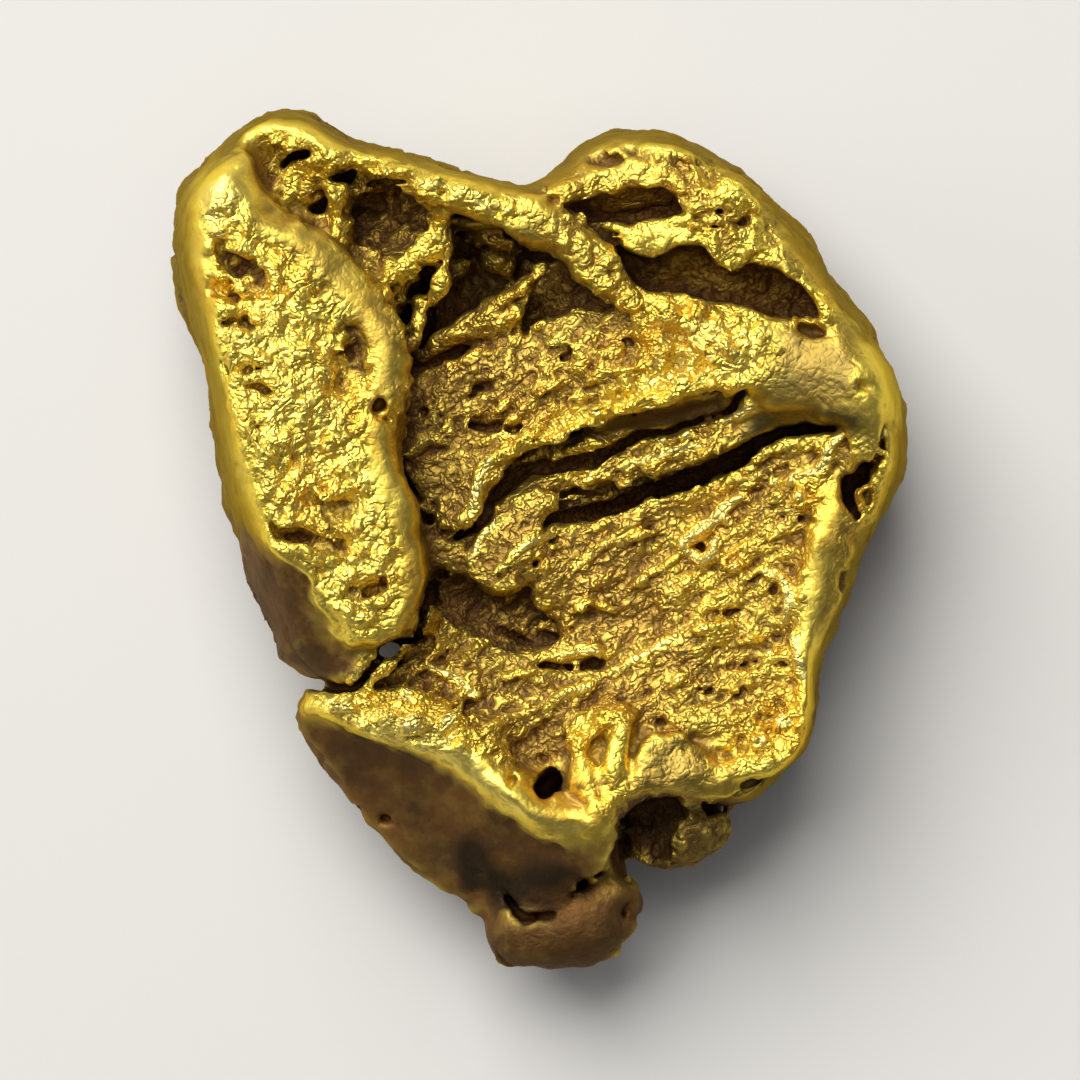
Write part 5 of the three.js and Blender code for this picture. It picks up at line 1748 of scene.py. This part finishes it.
@dataclass
class Nugget:
    """The whole nugget, as one closed surface.

    Attributes:
        scale: Metres for one millimetre of its plan, across, along and up.
        eye: The height, in millimetres, that its plan was laid out from.
        waist: The height at which the plan needs no correction.
        most_faces: The most triangles that its surface may have.
        seed: Chooses the noise of its stain.
        rims: The height above which its top is painted brighter, as rubbed gold and painted highlight.
        wall_top: The height under which its sides are walls.
    """

    scale: Array
    eye: float = 141.6
    waist: float = 2.7
    most_faces: int = 196_000
    seed: int = 5
    rims: float = 3.6
    wall_top: float = 4.6

    def build(self) -> bpy.types.Object:
        """Forms the gold, wraps its surface and makes it a mesh with masks for its finish.

        Returns:
            The nugget's object, at the origin.
        """
        gold = GoldField()
        for part in PARTS:
            part.form(gold)
            LOG.info("formed %s", type(part).__name__)
        weathering = Weathering()
        weathering.work(gold)
        for part in OPENINGS:
            part.form(gold)
            LOG.info("opened %s", type(part).__name__)
        weathering.roughen(gold)
        unpinch(gold.values)
        vertices, quads = largest_piece(*wrap(gold.values, gold.low, gold.step))
        LOG.info("wrapped %d quads", len(quads))
        mesh = bpy.data.meshes.new("nugget_surface")
        mesh.from_pydata((vertices * self.scale).tolist(), [], quads.tolist())
        nugget = bpy.data.objects.new("gold_nugget", mesh)
        bpy.context.scene.collection.objects.link(nugget)
        self._thin(nugget)
        self._finish(nugget, gold)
        nugget.data.shade_smooth()
        return nugget

    def _thin(self, nugget: bpy.types.Object) -> None:
        """Merges the least needed edges until the surface has few enough triangles.

        Args:
            nugget: The object whose mesh is thinned.
        """
        triangles = 2 * len(nugget.data.polygons)
        if triangles > self.most_faces:
            thin = nugget.modifiers.new("thin", "DECIMATE")
            thin.ratio = self.most_faces / triangles
            thin.use_collapse_triangulate = True
            graph = bpy.context.evaluated_depsgraph_get()
            mesh = bpy.data.meshes.new_from_object(nugget.evaluated_get(graph))
            nugget.modifiers.clear()
            nugget.data = mesh
        LOG.info("kept %d faces", len(nugget.data.polygons))

    def _finish(self, nugget: bpy.types.Object, gold: GoldField) -> None:
        """Stores the masks that the finish needs, and takes the eye's perspective out of the plan.

        Args:
            nugget: The object whose mesh is finished.
            gold: The field that the surface was wrapped round.
        """
        places = np.empty(3 * len(nugget.data.vertices), np.float32)
        nugget.data.vertices.foreach_get("co", places)
        places = places.reshape(-1, 3) / self.scale
        masks = self._shape_masks(places, gold)
        stained_and_shaded, filmed_and_shaded, rubbed_and_highlit = self._patches(places)
        x, y, z = places.T
        hammered, crumpled = texture_masks(places)
        masks |= {
            # Higher ground is painted brighter gold.
            "height": np.clip((z - self.rims) / 2.4, 0, 1),
            # The wall mask also carries the film and painted shade of those patches.
            "wall": np.maximum(masks["wall"], filmed_and_shaded),
            # Stain and painted shade.
            "stained_and_shaded": stained_and_shaded,
            # Rubbing and painted highlight, strongest on the flakes, which turn cream as painted glints.
            "rubbed_and_highlit": np.maximum(rubbed_and_highlit, 1.7 * flake_mask(x, y)) * np.clip((z - self.rims) / 0.8, 0, 1),
            "hammered": hammered,
            "crumpled": crumpled,
        }
        for name, values in masks.items():
            layer = nugget.data.attributes.new(name, "FLOAT", "POINT")
            layer.data.foreach_set("value", values.astype(np.float32))
        places[:, :2] *= ((self.eye - z) / (self.eye - self.waist))[:, None]
        nugget.data.vertices.foreach_set("co", (places * self.scale).astype(np.float32).ravel())
        nugget.data.update()

    def _shape_masks(self, places: Array, gold: GoldField) -> dict[str, Array]:
        """Works out the masks that follow from the nugget's shape.

        The share of a cube round a vertex that is gold is a half on flat ground, more in a hollow and less
        on an edge. How that share changes from side to side gives the way that the surface faces.

        Args:
            places: The vertices' x, y, z.
            gold: The field that the surface was wrapped round.

        Returns:
            How far each vertex is in a hollow, in a crease, on a proud edge and on a wall.
        """
        steps = (places - np.array(gold.low)) / gold.step
        solid = (gold.values < 0).astype(np.float32)
        fine, near, far = (box_blur(solid, cells) for cells in (2, 5, 12))
        falls = [sample(near, steps - nudge) - sample(near, steps + nudge) for nudge in 2.0 * np.eye(3)]
        up = falls[2] / np.sqrt(sum(fall * fall for fall in falls) + 1e-9)
        fine, near, far = (sample(lattice, steps) for lattice in (fine, near, far))
        return {
            # The hollow and crease masks feed the dirt and painted shade: hollows and creases are darkened
            # where shade would fall.
            "hollow": np.clip((far - 0.52) * 3.6, 0, 1),
            "crease": np.clip((fine - 0.52) * 5.0 + (near - 0.52) * 2.5, 0, 1),
            # The proud mask lightens the colour as rubbing and as painted highlight.
            "proud": np.clip((0.47 - fine) * 4.0 + (0.5 - near) * 1.5, 0, 1),
            "wall": np.clip((0.9 - up) / 0.7, 0, 1),
        }

    def _patches(self, places: Array) -> tuple[Array, Array, Array]:
        """Reads off the patches of stain and painted shade, of film and painted shade, and of rubbing and
        painted highlight, whose edges waver, more so low down.

        River sand has worn the stain off the lowest walls, and left a patina there in clouds.

        Args:
            places: The vertices' x, y, z.

        Returns:
            How much stain and painted shade, film and painted shade, and rubbing and painted highlight each
            vertex has.
        """
        x, y, z = places.T
        noise = Noise(self.seed)
        sway = 0.15 + 1.7 * np.clip((self.wall_top - z) / 3.0, 0, 1)
        sway_x = noise.rolling(places, 1.5) + 0.5 * noise.rolling(places + 9, 0.6)
        sway_y = noise.rolling(places + 17, 1.5) + 0.5 * noise.rolling(places + 27, 0.6)
        stained_and_shaded, filmed_and_shaded, rubbed_and_highlit = (
            np.max([region.mask(x + sway * sway_x, y + sway * sway_y) for region in regions], axis=0)
            for regions in (STAINED_AND_SHADED, FILMED_AND_SHADED, RUBBED_AND_HIGHLIT)
        )
        clouds = 2.4 * noise.rolling(places + 57, 2.4) + 1.2 * noise.rolling(places + 67, 0.8)
        patina = 0.7 * np.clip(clouds, 0, 1) * np.clip((self.wall_top - z) / 2.0, 0, 1)
        stained_and_shaded *= np.clip(0.45 + 0.55 * (z - 0.6) / 2.4, 0.45, 1)
        return np.maximum(stained_and_shaded, patina), filmed_and_shaded, rubbed_and_highlit


# -------------------- the finish


class NodeKit:
    """Places nodes in a material's or group's tree and links them by name."""

    def __init__(self, tree: bpy.types.NodeTree) -> None:
        """Takes the tree that the nodes go in."""
        self.tree = tree

    def add(self, kind: str, inputs: dict | None = None, **settings: object) -> bpy.types.Node:
        """Adds a node.

        Args:
            kind: The node's type, without its prefix.
            inputs: For each input's name or number, a value or the output that feeds it.
            settings: The node's own settings.

        Returns:
            The node.
        """
        node = self.tree.nodes.new("ShaderNode" + kind)
        for name, value in settings.items():
            setattr(node, name, value)
        for name, value in (inputs or {}).items():
            if isinstance(value, bpy.types.NodeSocket):
                self.tree.links.new(value, node.inputs[name])
            else:
                node.inputs[name].default_value = value
        return node

    def maths(self, operation: str, a: object, b: object = 0.0, clamp: bool = False) -> bpy.types.NodeSocket:
        """The result of a sum on two values or outputs."""
        return self.add("Math", {0: a, 1: b}, operation=operation, use_clamp=clamp).outputs[0]

    def ramp(
        self, value: object, low: float, high: float, to_low: float = 0.0, to_high: float = 1.0
    ) -> bpy.types.NodeSocket:
        """A value carried from one range to another, and held inside it."""
        inputs = {"Value": value, "From Min": low, "From Max": high, "To Min": to_low, "To Max": to_high}
        return self.add("MapRange", inputs).outputs["Result"]

    def blend(self, share: object, a: object, b: object) -> bpy.types.NodeSocket:
        """A colour that share of the way from a to b."""
        return self.add("Mix", {0: share, 6: a, 7: b}, data_type="RGBA").outputs[2]

    def mask(self, name: str) -> bpy.types.NodeSocket:
        """One of the surface's own masks."""
        return self.add("Attribute", attribute_name=name).outputs["Fac"]

    def noise(self, place: bpy.types.NodeSocket, scale: float, detail: float) -> bpy.types.NodeSocket:
        """Cloudy noise at a place."""
        return self.add("TexNoise", {"Vector": place, "Scale": scale, "Detail": detail}).outputs["Fac"]

    def clouds(self, place: bpy.types.NodeSocket, scale: float, detail: float) -> bpy.types.NodeSocket:
        """Cloudy noise at a place, spread out to run from -1 to 1."""
        return self.ramp(self.noise(place, scale, detail), 0.3, 0.7, -1.0, 1.0)

    def total(self, *terms: tuple[object, float]) -> bpy.types.NodeSocket:
        """Adds up terms.

        Args:
            terms: For each term, an output and its factor.

        Returns:
            The sum's output.
        """
        result: object = 0.0
        for value, factor in terms:
            result = self.add("Math", {0: value, 1: factor, 2: result}, operation="MULTIPLY_ADD").outputs[0]
        return result


Colour = tuple[float, float, float, float]


@dataclass(frozen=True)
class NativeGold:
    """Native gold: bright where it is worn and where highlight is painted on, dark where dirt gathers and
    shade is painted in its hollows and creases, brown where river dirt has stained it.

    Attributes:
        bright: The colour of clean gold.
        warm: The redder colour that it has in patches.
        pale: The colour of the crests that are rubbed most, a painted highlight.
        painted_glint: The colour of the flakes, glints painted where they catch the light.
        deep: The colour of gold that is neither rubbed nor painted bright.
        olive_film_and_shade: The colour of the thin film on its outer walls, and of the shade painted on
            walls and on the faces under lips and ridges.
        dirt_and_shade: The colour of the dirt in its hollows, and of the shade painted there.
        rust: The redder colour that the dirt and painted shade have in patches.
        painted_deep_shade: The near-black colour of the most stained patches, painted shade on the slopes
            and cavities that face away from the light.
        tint: The colour of its edge-on reflections.
        satin: The roughness of clean gold.
        dull: The roughness of stained gold.
        lie: The direction, in degrees from +X, that the crumpled ground's grains run in.
        dirt_and_shade_weights: How much each mask adds to the dirt and painted shade.
        highlight_and_rub_weights: How much each mask adds to the brightness of rubbed gold and painted
            highlight.
        film_and_shade_weights: How much each mask adds to the film and painted shade.
    """

    bright: Colour = (0.95, 0.73, 0.115, 1.0)
    warm: Colour = (0.87, 0.50, 0.05, 1.0)
    pale: Colour = (0.98, 0.80, 0.22, 1.0)
    painted_glint: Colour = (1.0, 0.83, 0.27, 1.0)
    deep: Colour = (0.52, 0.33, 0.065, 1.0)
    olive_film_and_shade: Colour = (0.19, 0.14, 0.042, 1.0)
    dirt_and_shade: Colour = (0.096, 0.046, 0.017, 1.0)
    rust: Colour = (0.170, 0.075, 0.020, 1.0)
    painted_deep_shade: Colour = (0.030, 0.017, 0.009, 1.0)
    tint: Colour = (0.75, 0.60, 0.25, 1.0)
    satin: float = 0.46
    dull: float = 0.62
    lie: float = 33.0
    dirt_and_shade_weights: tuple[tuple[str, float], ...] = (
        ("Hollow", 0.58), ("Crease", 0.5), ("Stained_And_Shaded", 0.62), ("Proud", -0.4), ("Height", -0.1),
        ("Seam", 0.42), ("Rubbed_And_Highlit", -0.3),
    )
    highlight_and_rub_weights: tuple[tuple[str, float], ...] = (
        ("Height", 0.45), ("Proud", 0.6), ("Crease", -0.4), ("Rubbed_And_Highlit", 0.7),
    )
    film_and_shade_weights: tuple[tuple[str, float], ...] = (("Wall", 0.85), ("Proud", -0.3), ("Rubbed_And_Highlit", -0.45))

    def material(self) -> bpy.types.Material:
        """Builds the material.

        Returns:
            The material, whose colour, roughness, metallic and normal all vary over the surface.
        """
        material = bpy.data.materials.new("native_gold")
        material.use_nodes = True
        material.node_tree.nodes.clear()
        kit = NodeKit(material.node_tree)
        place = kit.add("TexCoord").outputs["Object"]
        stain_and_light = kit.add("Group", node_tree=self._stain_and_light_group())
        grain = kit.add("Group", node_tree=self._grain_group())
        for group in (stain_and_light, grain):
            kit.tree.links.new(place, group.inputs["Place"])
        for name in ("Hollow", "Crease", "Proud", "Height", "Wall", "Stained_And_Shaded", "Rubbed_And_Highlit"):
            kit.tree.links.new(kit.mask(name.lower()), stain_and_light.inputs[name])
        for name in ("Hammered", "Crumpled"):
            kit.tree.links.new(kit.mask(name.lower()), grain.inputs[name])
        kit.tree.links.new(grain.outputs["Seam"], stain_and_light.inputs["Seam"])
        # Dirt and painted shade: hollows, creases and stained patches are darkened to brown, where shade
        # falls as well as where dirt lies.
        dirt_and_shade = stain_and_light.outputs["Dirt_And_Shade"]
        patches = kit.ramp(kit.noise(place, 560.0, 4.0), 0.48, 0.66, 0.0, 0.6)
        clean = kit.blend(patches, self.bright, self.warm)
        # Painted highlight: the most rubbed crests turn pale and the flakes cream.
        clean = kit.blend(kit.ramp(kit.mask("rubbed_and_highlit"), 1.05, 1.5, 0.0, 0.7), clean, self.pale)
        clean = kit.blend(kit.ramp(kit.mask("rubbed_and_highlit"), 1.45, 1.65, 0.0, 0.7), clean, self.painted_glint)
        # Rubbing and painted highlight lift the deep gold to clean gold.
        colour = kit.blend(stain_and_light.outputs["Bright"], self.deep, clean)
        # Film and painted shade turn walls and the faces under lips and ridges olive.
        colour = kit.blend(stain_and_light.outputs["Film_And_Shade"], colour, self.olive_film_and_shade)
        soil_and_shade = kit.blend(kit.ramp(kit.noise(place, 800.0, 5.0), 0.38, 0.66), self.dirt_and_shade, self.rust)
        # Painted deep shade: the most stained patches turn near black.
        soil_and_shade = kit.blend(kit.ramp(kit.mask("stained_and_shaded"), 1.35, 2.2), soil_and_shade, self.painted_deep_shade)
        colour = kit.blend(dirt_and_shade, colour, soil_and_shade)
        bump = kit.add("Bump", {"Strength": 1.0, "Distance": MM, "Height": grain.outputs["Height"]})
        gold = kit.add(
            "BsdfPrincipled",
            {
                "Base Color": colour,
                "Metallic": kit.ramp(dirt_and_shade, 0.0, 1.0, 1.0, 0.5),
                "Roughness": kit.ramp(stain_and_light.outputs["Dull"], 0.0, 1.0, self.satin, self.dull),
                "Specular Tint": self.tint,
                "Normal": bump.outputs["Normal"],
            },
        )
        kit.add("OutputMaterial", {"Surface": gold.outputs["BSDF"]})
        return material

    @staticmethod
    def _group(
        name: str, inputs: tuple[str, ...], outputs: tuple[str, ...]
    ) -> tuple[NodeKit, dict[str, bpy.types.NodeSocket], bpy.types.Node]:
        """Starts a node group.

        Args:
            name: The group's name.
            inputs: Its inputs, of which Place is a vector.
            outputs: Its outputs, all plain values.

        Returns:
            A kit for its tree, its inputs by name, and its output node.
        """
        tree = bpy.data.node_groups.new(name, "ShaderNodeTree")
        for label in inputs:
            kind = "NodeSocketVector" if label == "Place" else "NodeSocketFloat"
            tree.interface.new_socket(label, in_out="INPUT", socket_type=kind)
        for label in outputs:
            tree.interface.new_socket(label, in_out="OUTPUT", socket_type="NodeSocketFloat")
        entry = tree.nodes.new("NodeGroupInput")
        given = {label: entry.outputs[label] for label in inputs}
        return NodeKit(tree), given, tree.nodes.new("NodeGroupOutput")

    def _stain_and_light_group(self) -> bpy.types.NodeTree:
        """Builds the stain and the painted light: dirt and painted shade gather in hollows, creases and
        stained patches, proud edges and high ground are rubbed clean and painted bright as highlight, and
        walls and the faces under lips take film and painted shade.

        Each output is a weighted sum of the masks and of clouds of three sizes, held between zero and one.

        Returns:
            The group.
        """
        inputs = ("Place", "Hollow", "Crease", "Proud", "Height", "Wall", "Stained_And_Shaded", "Rubbed_And_Highlit", "Seam")
        kit, given, result = self._group("stain_and_painted_light", inputs, ("Dirt_And_Shade", "Bright", "Film_And_Shade", "Dull"))
        blotch = kit.clouds(given["Place"], 900.0, 4.0)
        speck = kit.clouds(given["Place"], 3600.0, 3.0)
        broad = kit.ramp(kit.noise(given["Place"], 360.0, 2.0), 0.36, 0.64, -1.0, 1.0)
        dirt_and_shade_masks, highlight_and_rub_masks, film_and_shade_masks = (
            [(given[name], weight) for name, weight in weights]
            for weights in (self.dirt_and_shade_weights, self.highlight_and_rub_weights, self.film_and_shade_weights)
        )
        # Dirt and painted shade: darker in hollows, creases, seams and stained patches, lighter on proud
        # edges and rubbed patches.
        dirt_and_shade = kit.ramp(kit.total(*dirt_and_shade_masks, (blotch, 0.07), (speck, 0.08), (broad, 0.08)), 0.0, 0.9)
        # Rubbing and painted highlight: brighter on high ground, proud edges and rubbed patches, darker in
        # creases.
        rubbed_and_highlit = kit.total(*highlight_and_rub_masks, (blotch, 0.3), (speck, 0.15))
        thin = kit.ramp(kit.noise(given["Place"], 900.0, 4.0), 0.35, 0.65, -1.0, 0.2)
        # Film and painted shade: olive on walls and on the faces under lips, less on proud and rubbed gold.
        film_and_shade = kit.total(*film_and_shade_masks, (thin, 0.2))
        dull = kit.total((dirt_and_shade, 0.8), (given["Wall"], 0.3), (speck, 0.15))
        for name, value in (("Dirt_And_Shade", dirt_and_shade), ("Bright", rubbed_and_highlit), ("Film_And_Shade", film_and_shade), ("Dull", dull)):
            kit.tree.links.new(kit.ramp(value, 0.0, 1.0), result.inputs[name])
        return kit.tree

    def _grain_group(self) -> bpy.types.NodeTree:
        """Builds the fine grain: grains parted by seams, round where hammered and drawn out where crumpled.

        Returns:
            The group.
        """
        kit, given, result = self._group("fine_grain", ("Place", "Hammered", "Crumpled"), ("Height", "Seam"))
        place = given["Place"]
        turn = {"Vector": place, "Rotation": (0.0, 0.0, math.radians(self.lie)), "Scale": (2.0, 1.0, 1.0)}
        drawn = kit.add("Mapping", turn, vector_type="TEXTURE").outputs["Vector"]
        small = self._grains(kit, place, 4800.0)
        round_grains = kit.total((self._grains(kit, place, 2100.0), 0.65), (small, 0.35))
        long_grains = kit.total((self._grains(kit, drawn, 2400.0), 0.6), (small, 0.4))
        textured = kit.maths("ADD", given["Hammered"], given["Crumpled"])
        plain = kit.maths("SUBTRACT", 1.0, textured, clamp=True)
        grains = kit.total(
            (kit.maths("MULTIPLY", round_grains, given["Hammered"]), 1.0),
            (kit.maths("MULTIPLY", long_grains, given["Crumpled"]), 1.0),
            (kit.maths("MULTIPLY", round_grains, plain), 0.12),
            (plain, 0.88),
        )
        skin = kit.noise(place, 2600.0, 4.0)
        kit.tree.links.new(kit.total((grains, 0.07), (skin, 0.03)), result.inputs["Height"])
        kit.tree.links.new(kit.ramp(grains, 0.75, 0.15), result.inputs["Seam"])
        return kit.tree

    @staticmethod
    def _grains(kit: NodeKit, place: bpy.types.NodeSocket, scale: float) -> bpy.types.NodeSocket:
        """Makes grains: how far cloudy noise is from its middle, with a seam wherever it crosses that.

        Args:
            place: The place that is looked up.
            scale: How many grains there are to a metre.

        Returns:
            Zero in the seams and one on the grains.
        """
        cloud = kit.noise(place, scale, 1.5)
        away = kit.maths("ABSOLUTE", kit.maths("SUBTRACT", cloud, 0.5))
        return kit.ramp(away, 0.0, 0.11)


# -------------------- the studio


@dataclass(frozen=True)
class Softbox:
    """A square soft light.

    Attributes:
        name: Its name.
        place: Where it hangs, in metres.
        side: Its side, in metres.
        watts: Its power.
        colour: Its colour.
    """

    name: str
    place: tuple[float, float, float]
    side: float
    watts: float
    colour: tuple[float, float, float]

    def hang(self, target: tuple[float, float, float]) -> None:
        """Hangs the light so that it faces the target.

        Args:
            target: A place, in metres.
        """
        light = bpy.data.lights.new(self.name, "AREA")
        light.size = self.side
        light.energy = self.watts
        light.color = self.colour
        lamp = bpy.data.objects.new(self.name, light)
        lamp.location = self.place
        aim = Vector(target) - Vector(self.place)
        lamp.rotation_euler = aim.to_track_quat("-Z", "Y").to_euler()
        bpy.context.scene.collection.objects.link(lamp)


@dataclass(frozen=True)
class Studio:
    """The plain pale floor, the soft lights and the camera that looks straight down.

    Attributes:
        floor_side: The floor's side, in metres.
        floor_colour: The floor's colour.
        floor_roughness: Its roughness.
        lens: The camera's focal length, in millimetres.
        field: How much of the nugget's waist plane the picture spans, in millimetres.
        waist: The height of that plane, in millimetres.
        lights: A large light above and behind, one overhead, and a weak one low on the left.
        surround_colour: The colour of the dim surround.
        surround_strength: Its strength.
    """

    floor_side: float = 2.0
    floor_colour: Colour = (0.65, 0.64, 0.62, 1.0)
    floor_roughness: float = 0.9
    lens: float = 200.0
    field: float = 25.0
    waist: float = 2.7
    lights: tuple[Softbox, ...] = (
        Softbox("key", (-0.14, 0.27, 0.36), 0.42, 3.7, (1.0, 0.985, 0.95)),
        Softbox("overhead", (0.0, 0.02, 0.6), 0.5, 0.40, (1.0, 1.0, 0.98)),
        Softbox("fill", (-0.40, 0.05, 0.20), 0.2, 0.3, (0.97, 0.98, 1.0)),
    )
    surround_colour: Colour = (0.9, 0.93, 1.0, 1.0)
    surround_strength: float = 0.09

    def build(self, middle: Vector) -> None:
        """Sets up the floor, the lights and the camera round a point on the floor.

        Args:
            middle: The point under the middle of the nugget, in metres.
        """
        self._floor()
        for light in self.lights:
            light.hang((middle.x, middle.y, 0.004))
        self._surround()
        camera = bpy.data.cameras.new("camera")
        camera.lens = self.lens
        camera.clip_start = 0.005
        camera.clip_end = 10.0
        stand = bpy.data.objects.new("camera", camera)
        away = self.field * self.lens / camera.sensor_width + self.waist
        stand.location = (middle.x, middle.y, away * MM)
        bpy.context.scene.collection.objects.link(stand)
        bpy.context.scene.camera = stand

    def _floor(self) -> None:
        """Lays the floor."""
        half = self.floor_side / 2
        corners = [(-half, -half, 0), (half, -half, 0), (half, half, 0), (-half, half, 0)]
        mesh = bpy.data.meshes.new("floor")
        mesh.from_pydata(corners, [], [(0, 1, 2, 3)])
        floor = bpy.data.objects.new("floor", mesh)
        bpy.context.scene.collection.objects.link(floor)
        paper = bpy.data.materials.new("pale_paper")
        paper.use_nodes = True
        shader = paper.node_tree.nodes["Principled BSDF"]
        shader.inputs["Base Color"].default_value = self.floor_colour
        shader.inputs["Roughness"].default_value = self.floor_roughness
        floor.data.materials.append(paper)

    def _surround(self) -> None:
        """Dims the surround."""
        world = bpy.data.worlds.new("surround")
        world.use_nodes = True
        backdrop = world.node_tree.nodes["Background"]
        backdrop.inputs["Color"].default_value = self.surround_colour
        backdrop.inputs["Strength"].default_value = self.surround_strength
        bpy.context.scene.world = world
        bpy.context.scene.view_settings.view_transform = "Standard"


# -------------------- the scene


@dataclass(frozen=True)
class Plan:
    """The size that the nugget's places were laid out for.

    Attributes:
        width: Its size along X, in millimetres.
        length: Its size along Y, in millimetres.
    """

    width: float = 17.16
    length: float = 20.0

    def scale(self, low: Vector, high: Vector) -> Array:
        """Fits the plan to the box that the nugget has to fill.

        Args:
            low: The box's lowest corner, in metres.
            high: Its highest corner.

        Returns:
            Metres for one millimetre of the plan, across, along and up.
        """
        across = (high.x - low.x) / self.width
        along = (high.y - low.y) / self.length
        return np.array([across, along, (across + along) / 2])


def main() -> None:
    """Builds the nugget round the frame, dresses it, and sets up the studio."""
    logging.basicConfig(level=logging.INFO, format="%(name)s: %(message)s")
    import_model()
    low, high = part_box("nugget")
    nugget = Nugget(Plan().scale(low, high)).build()
    nugget.data.materials.append(NativeGold().material())
    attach(nugget, "root")
    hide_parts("nugget")
    LOG.info("finished %s", nugget.name)
    Studio().build((low + high) / 2)
    LOG.info("set up the studio")


if __name__ == "__main__":
    main()
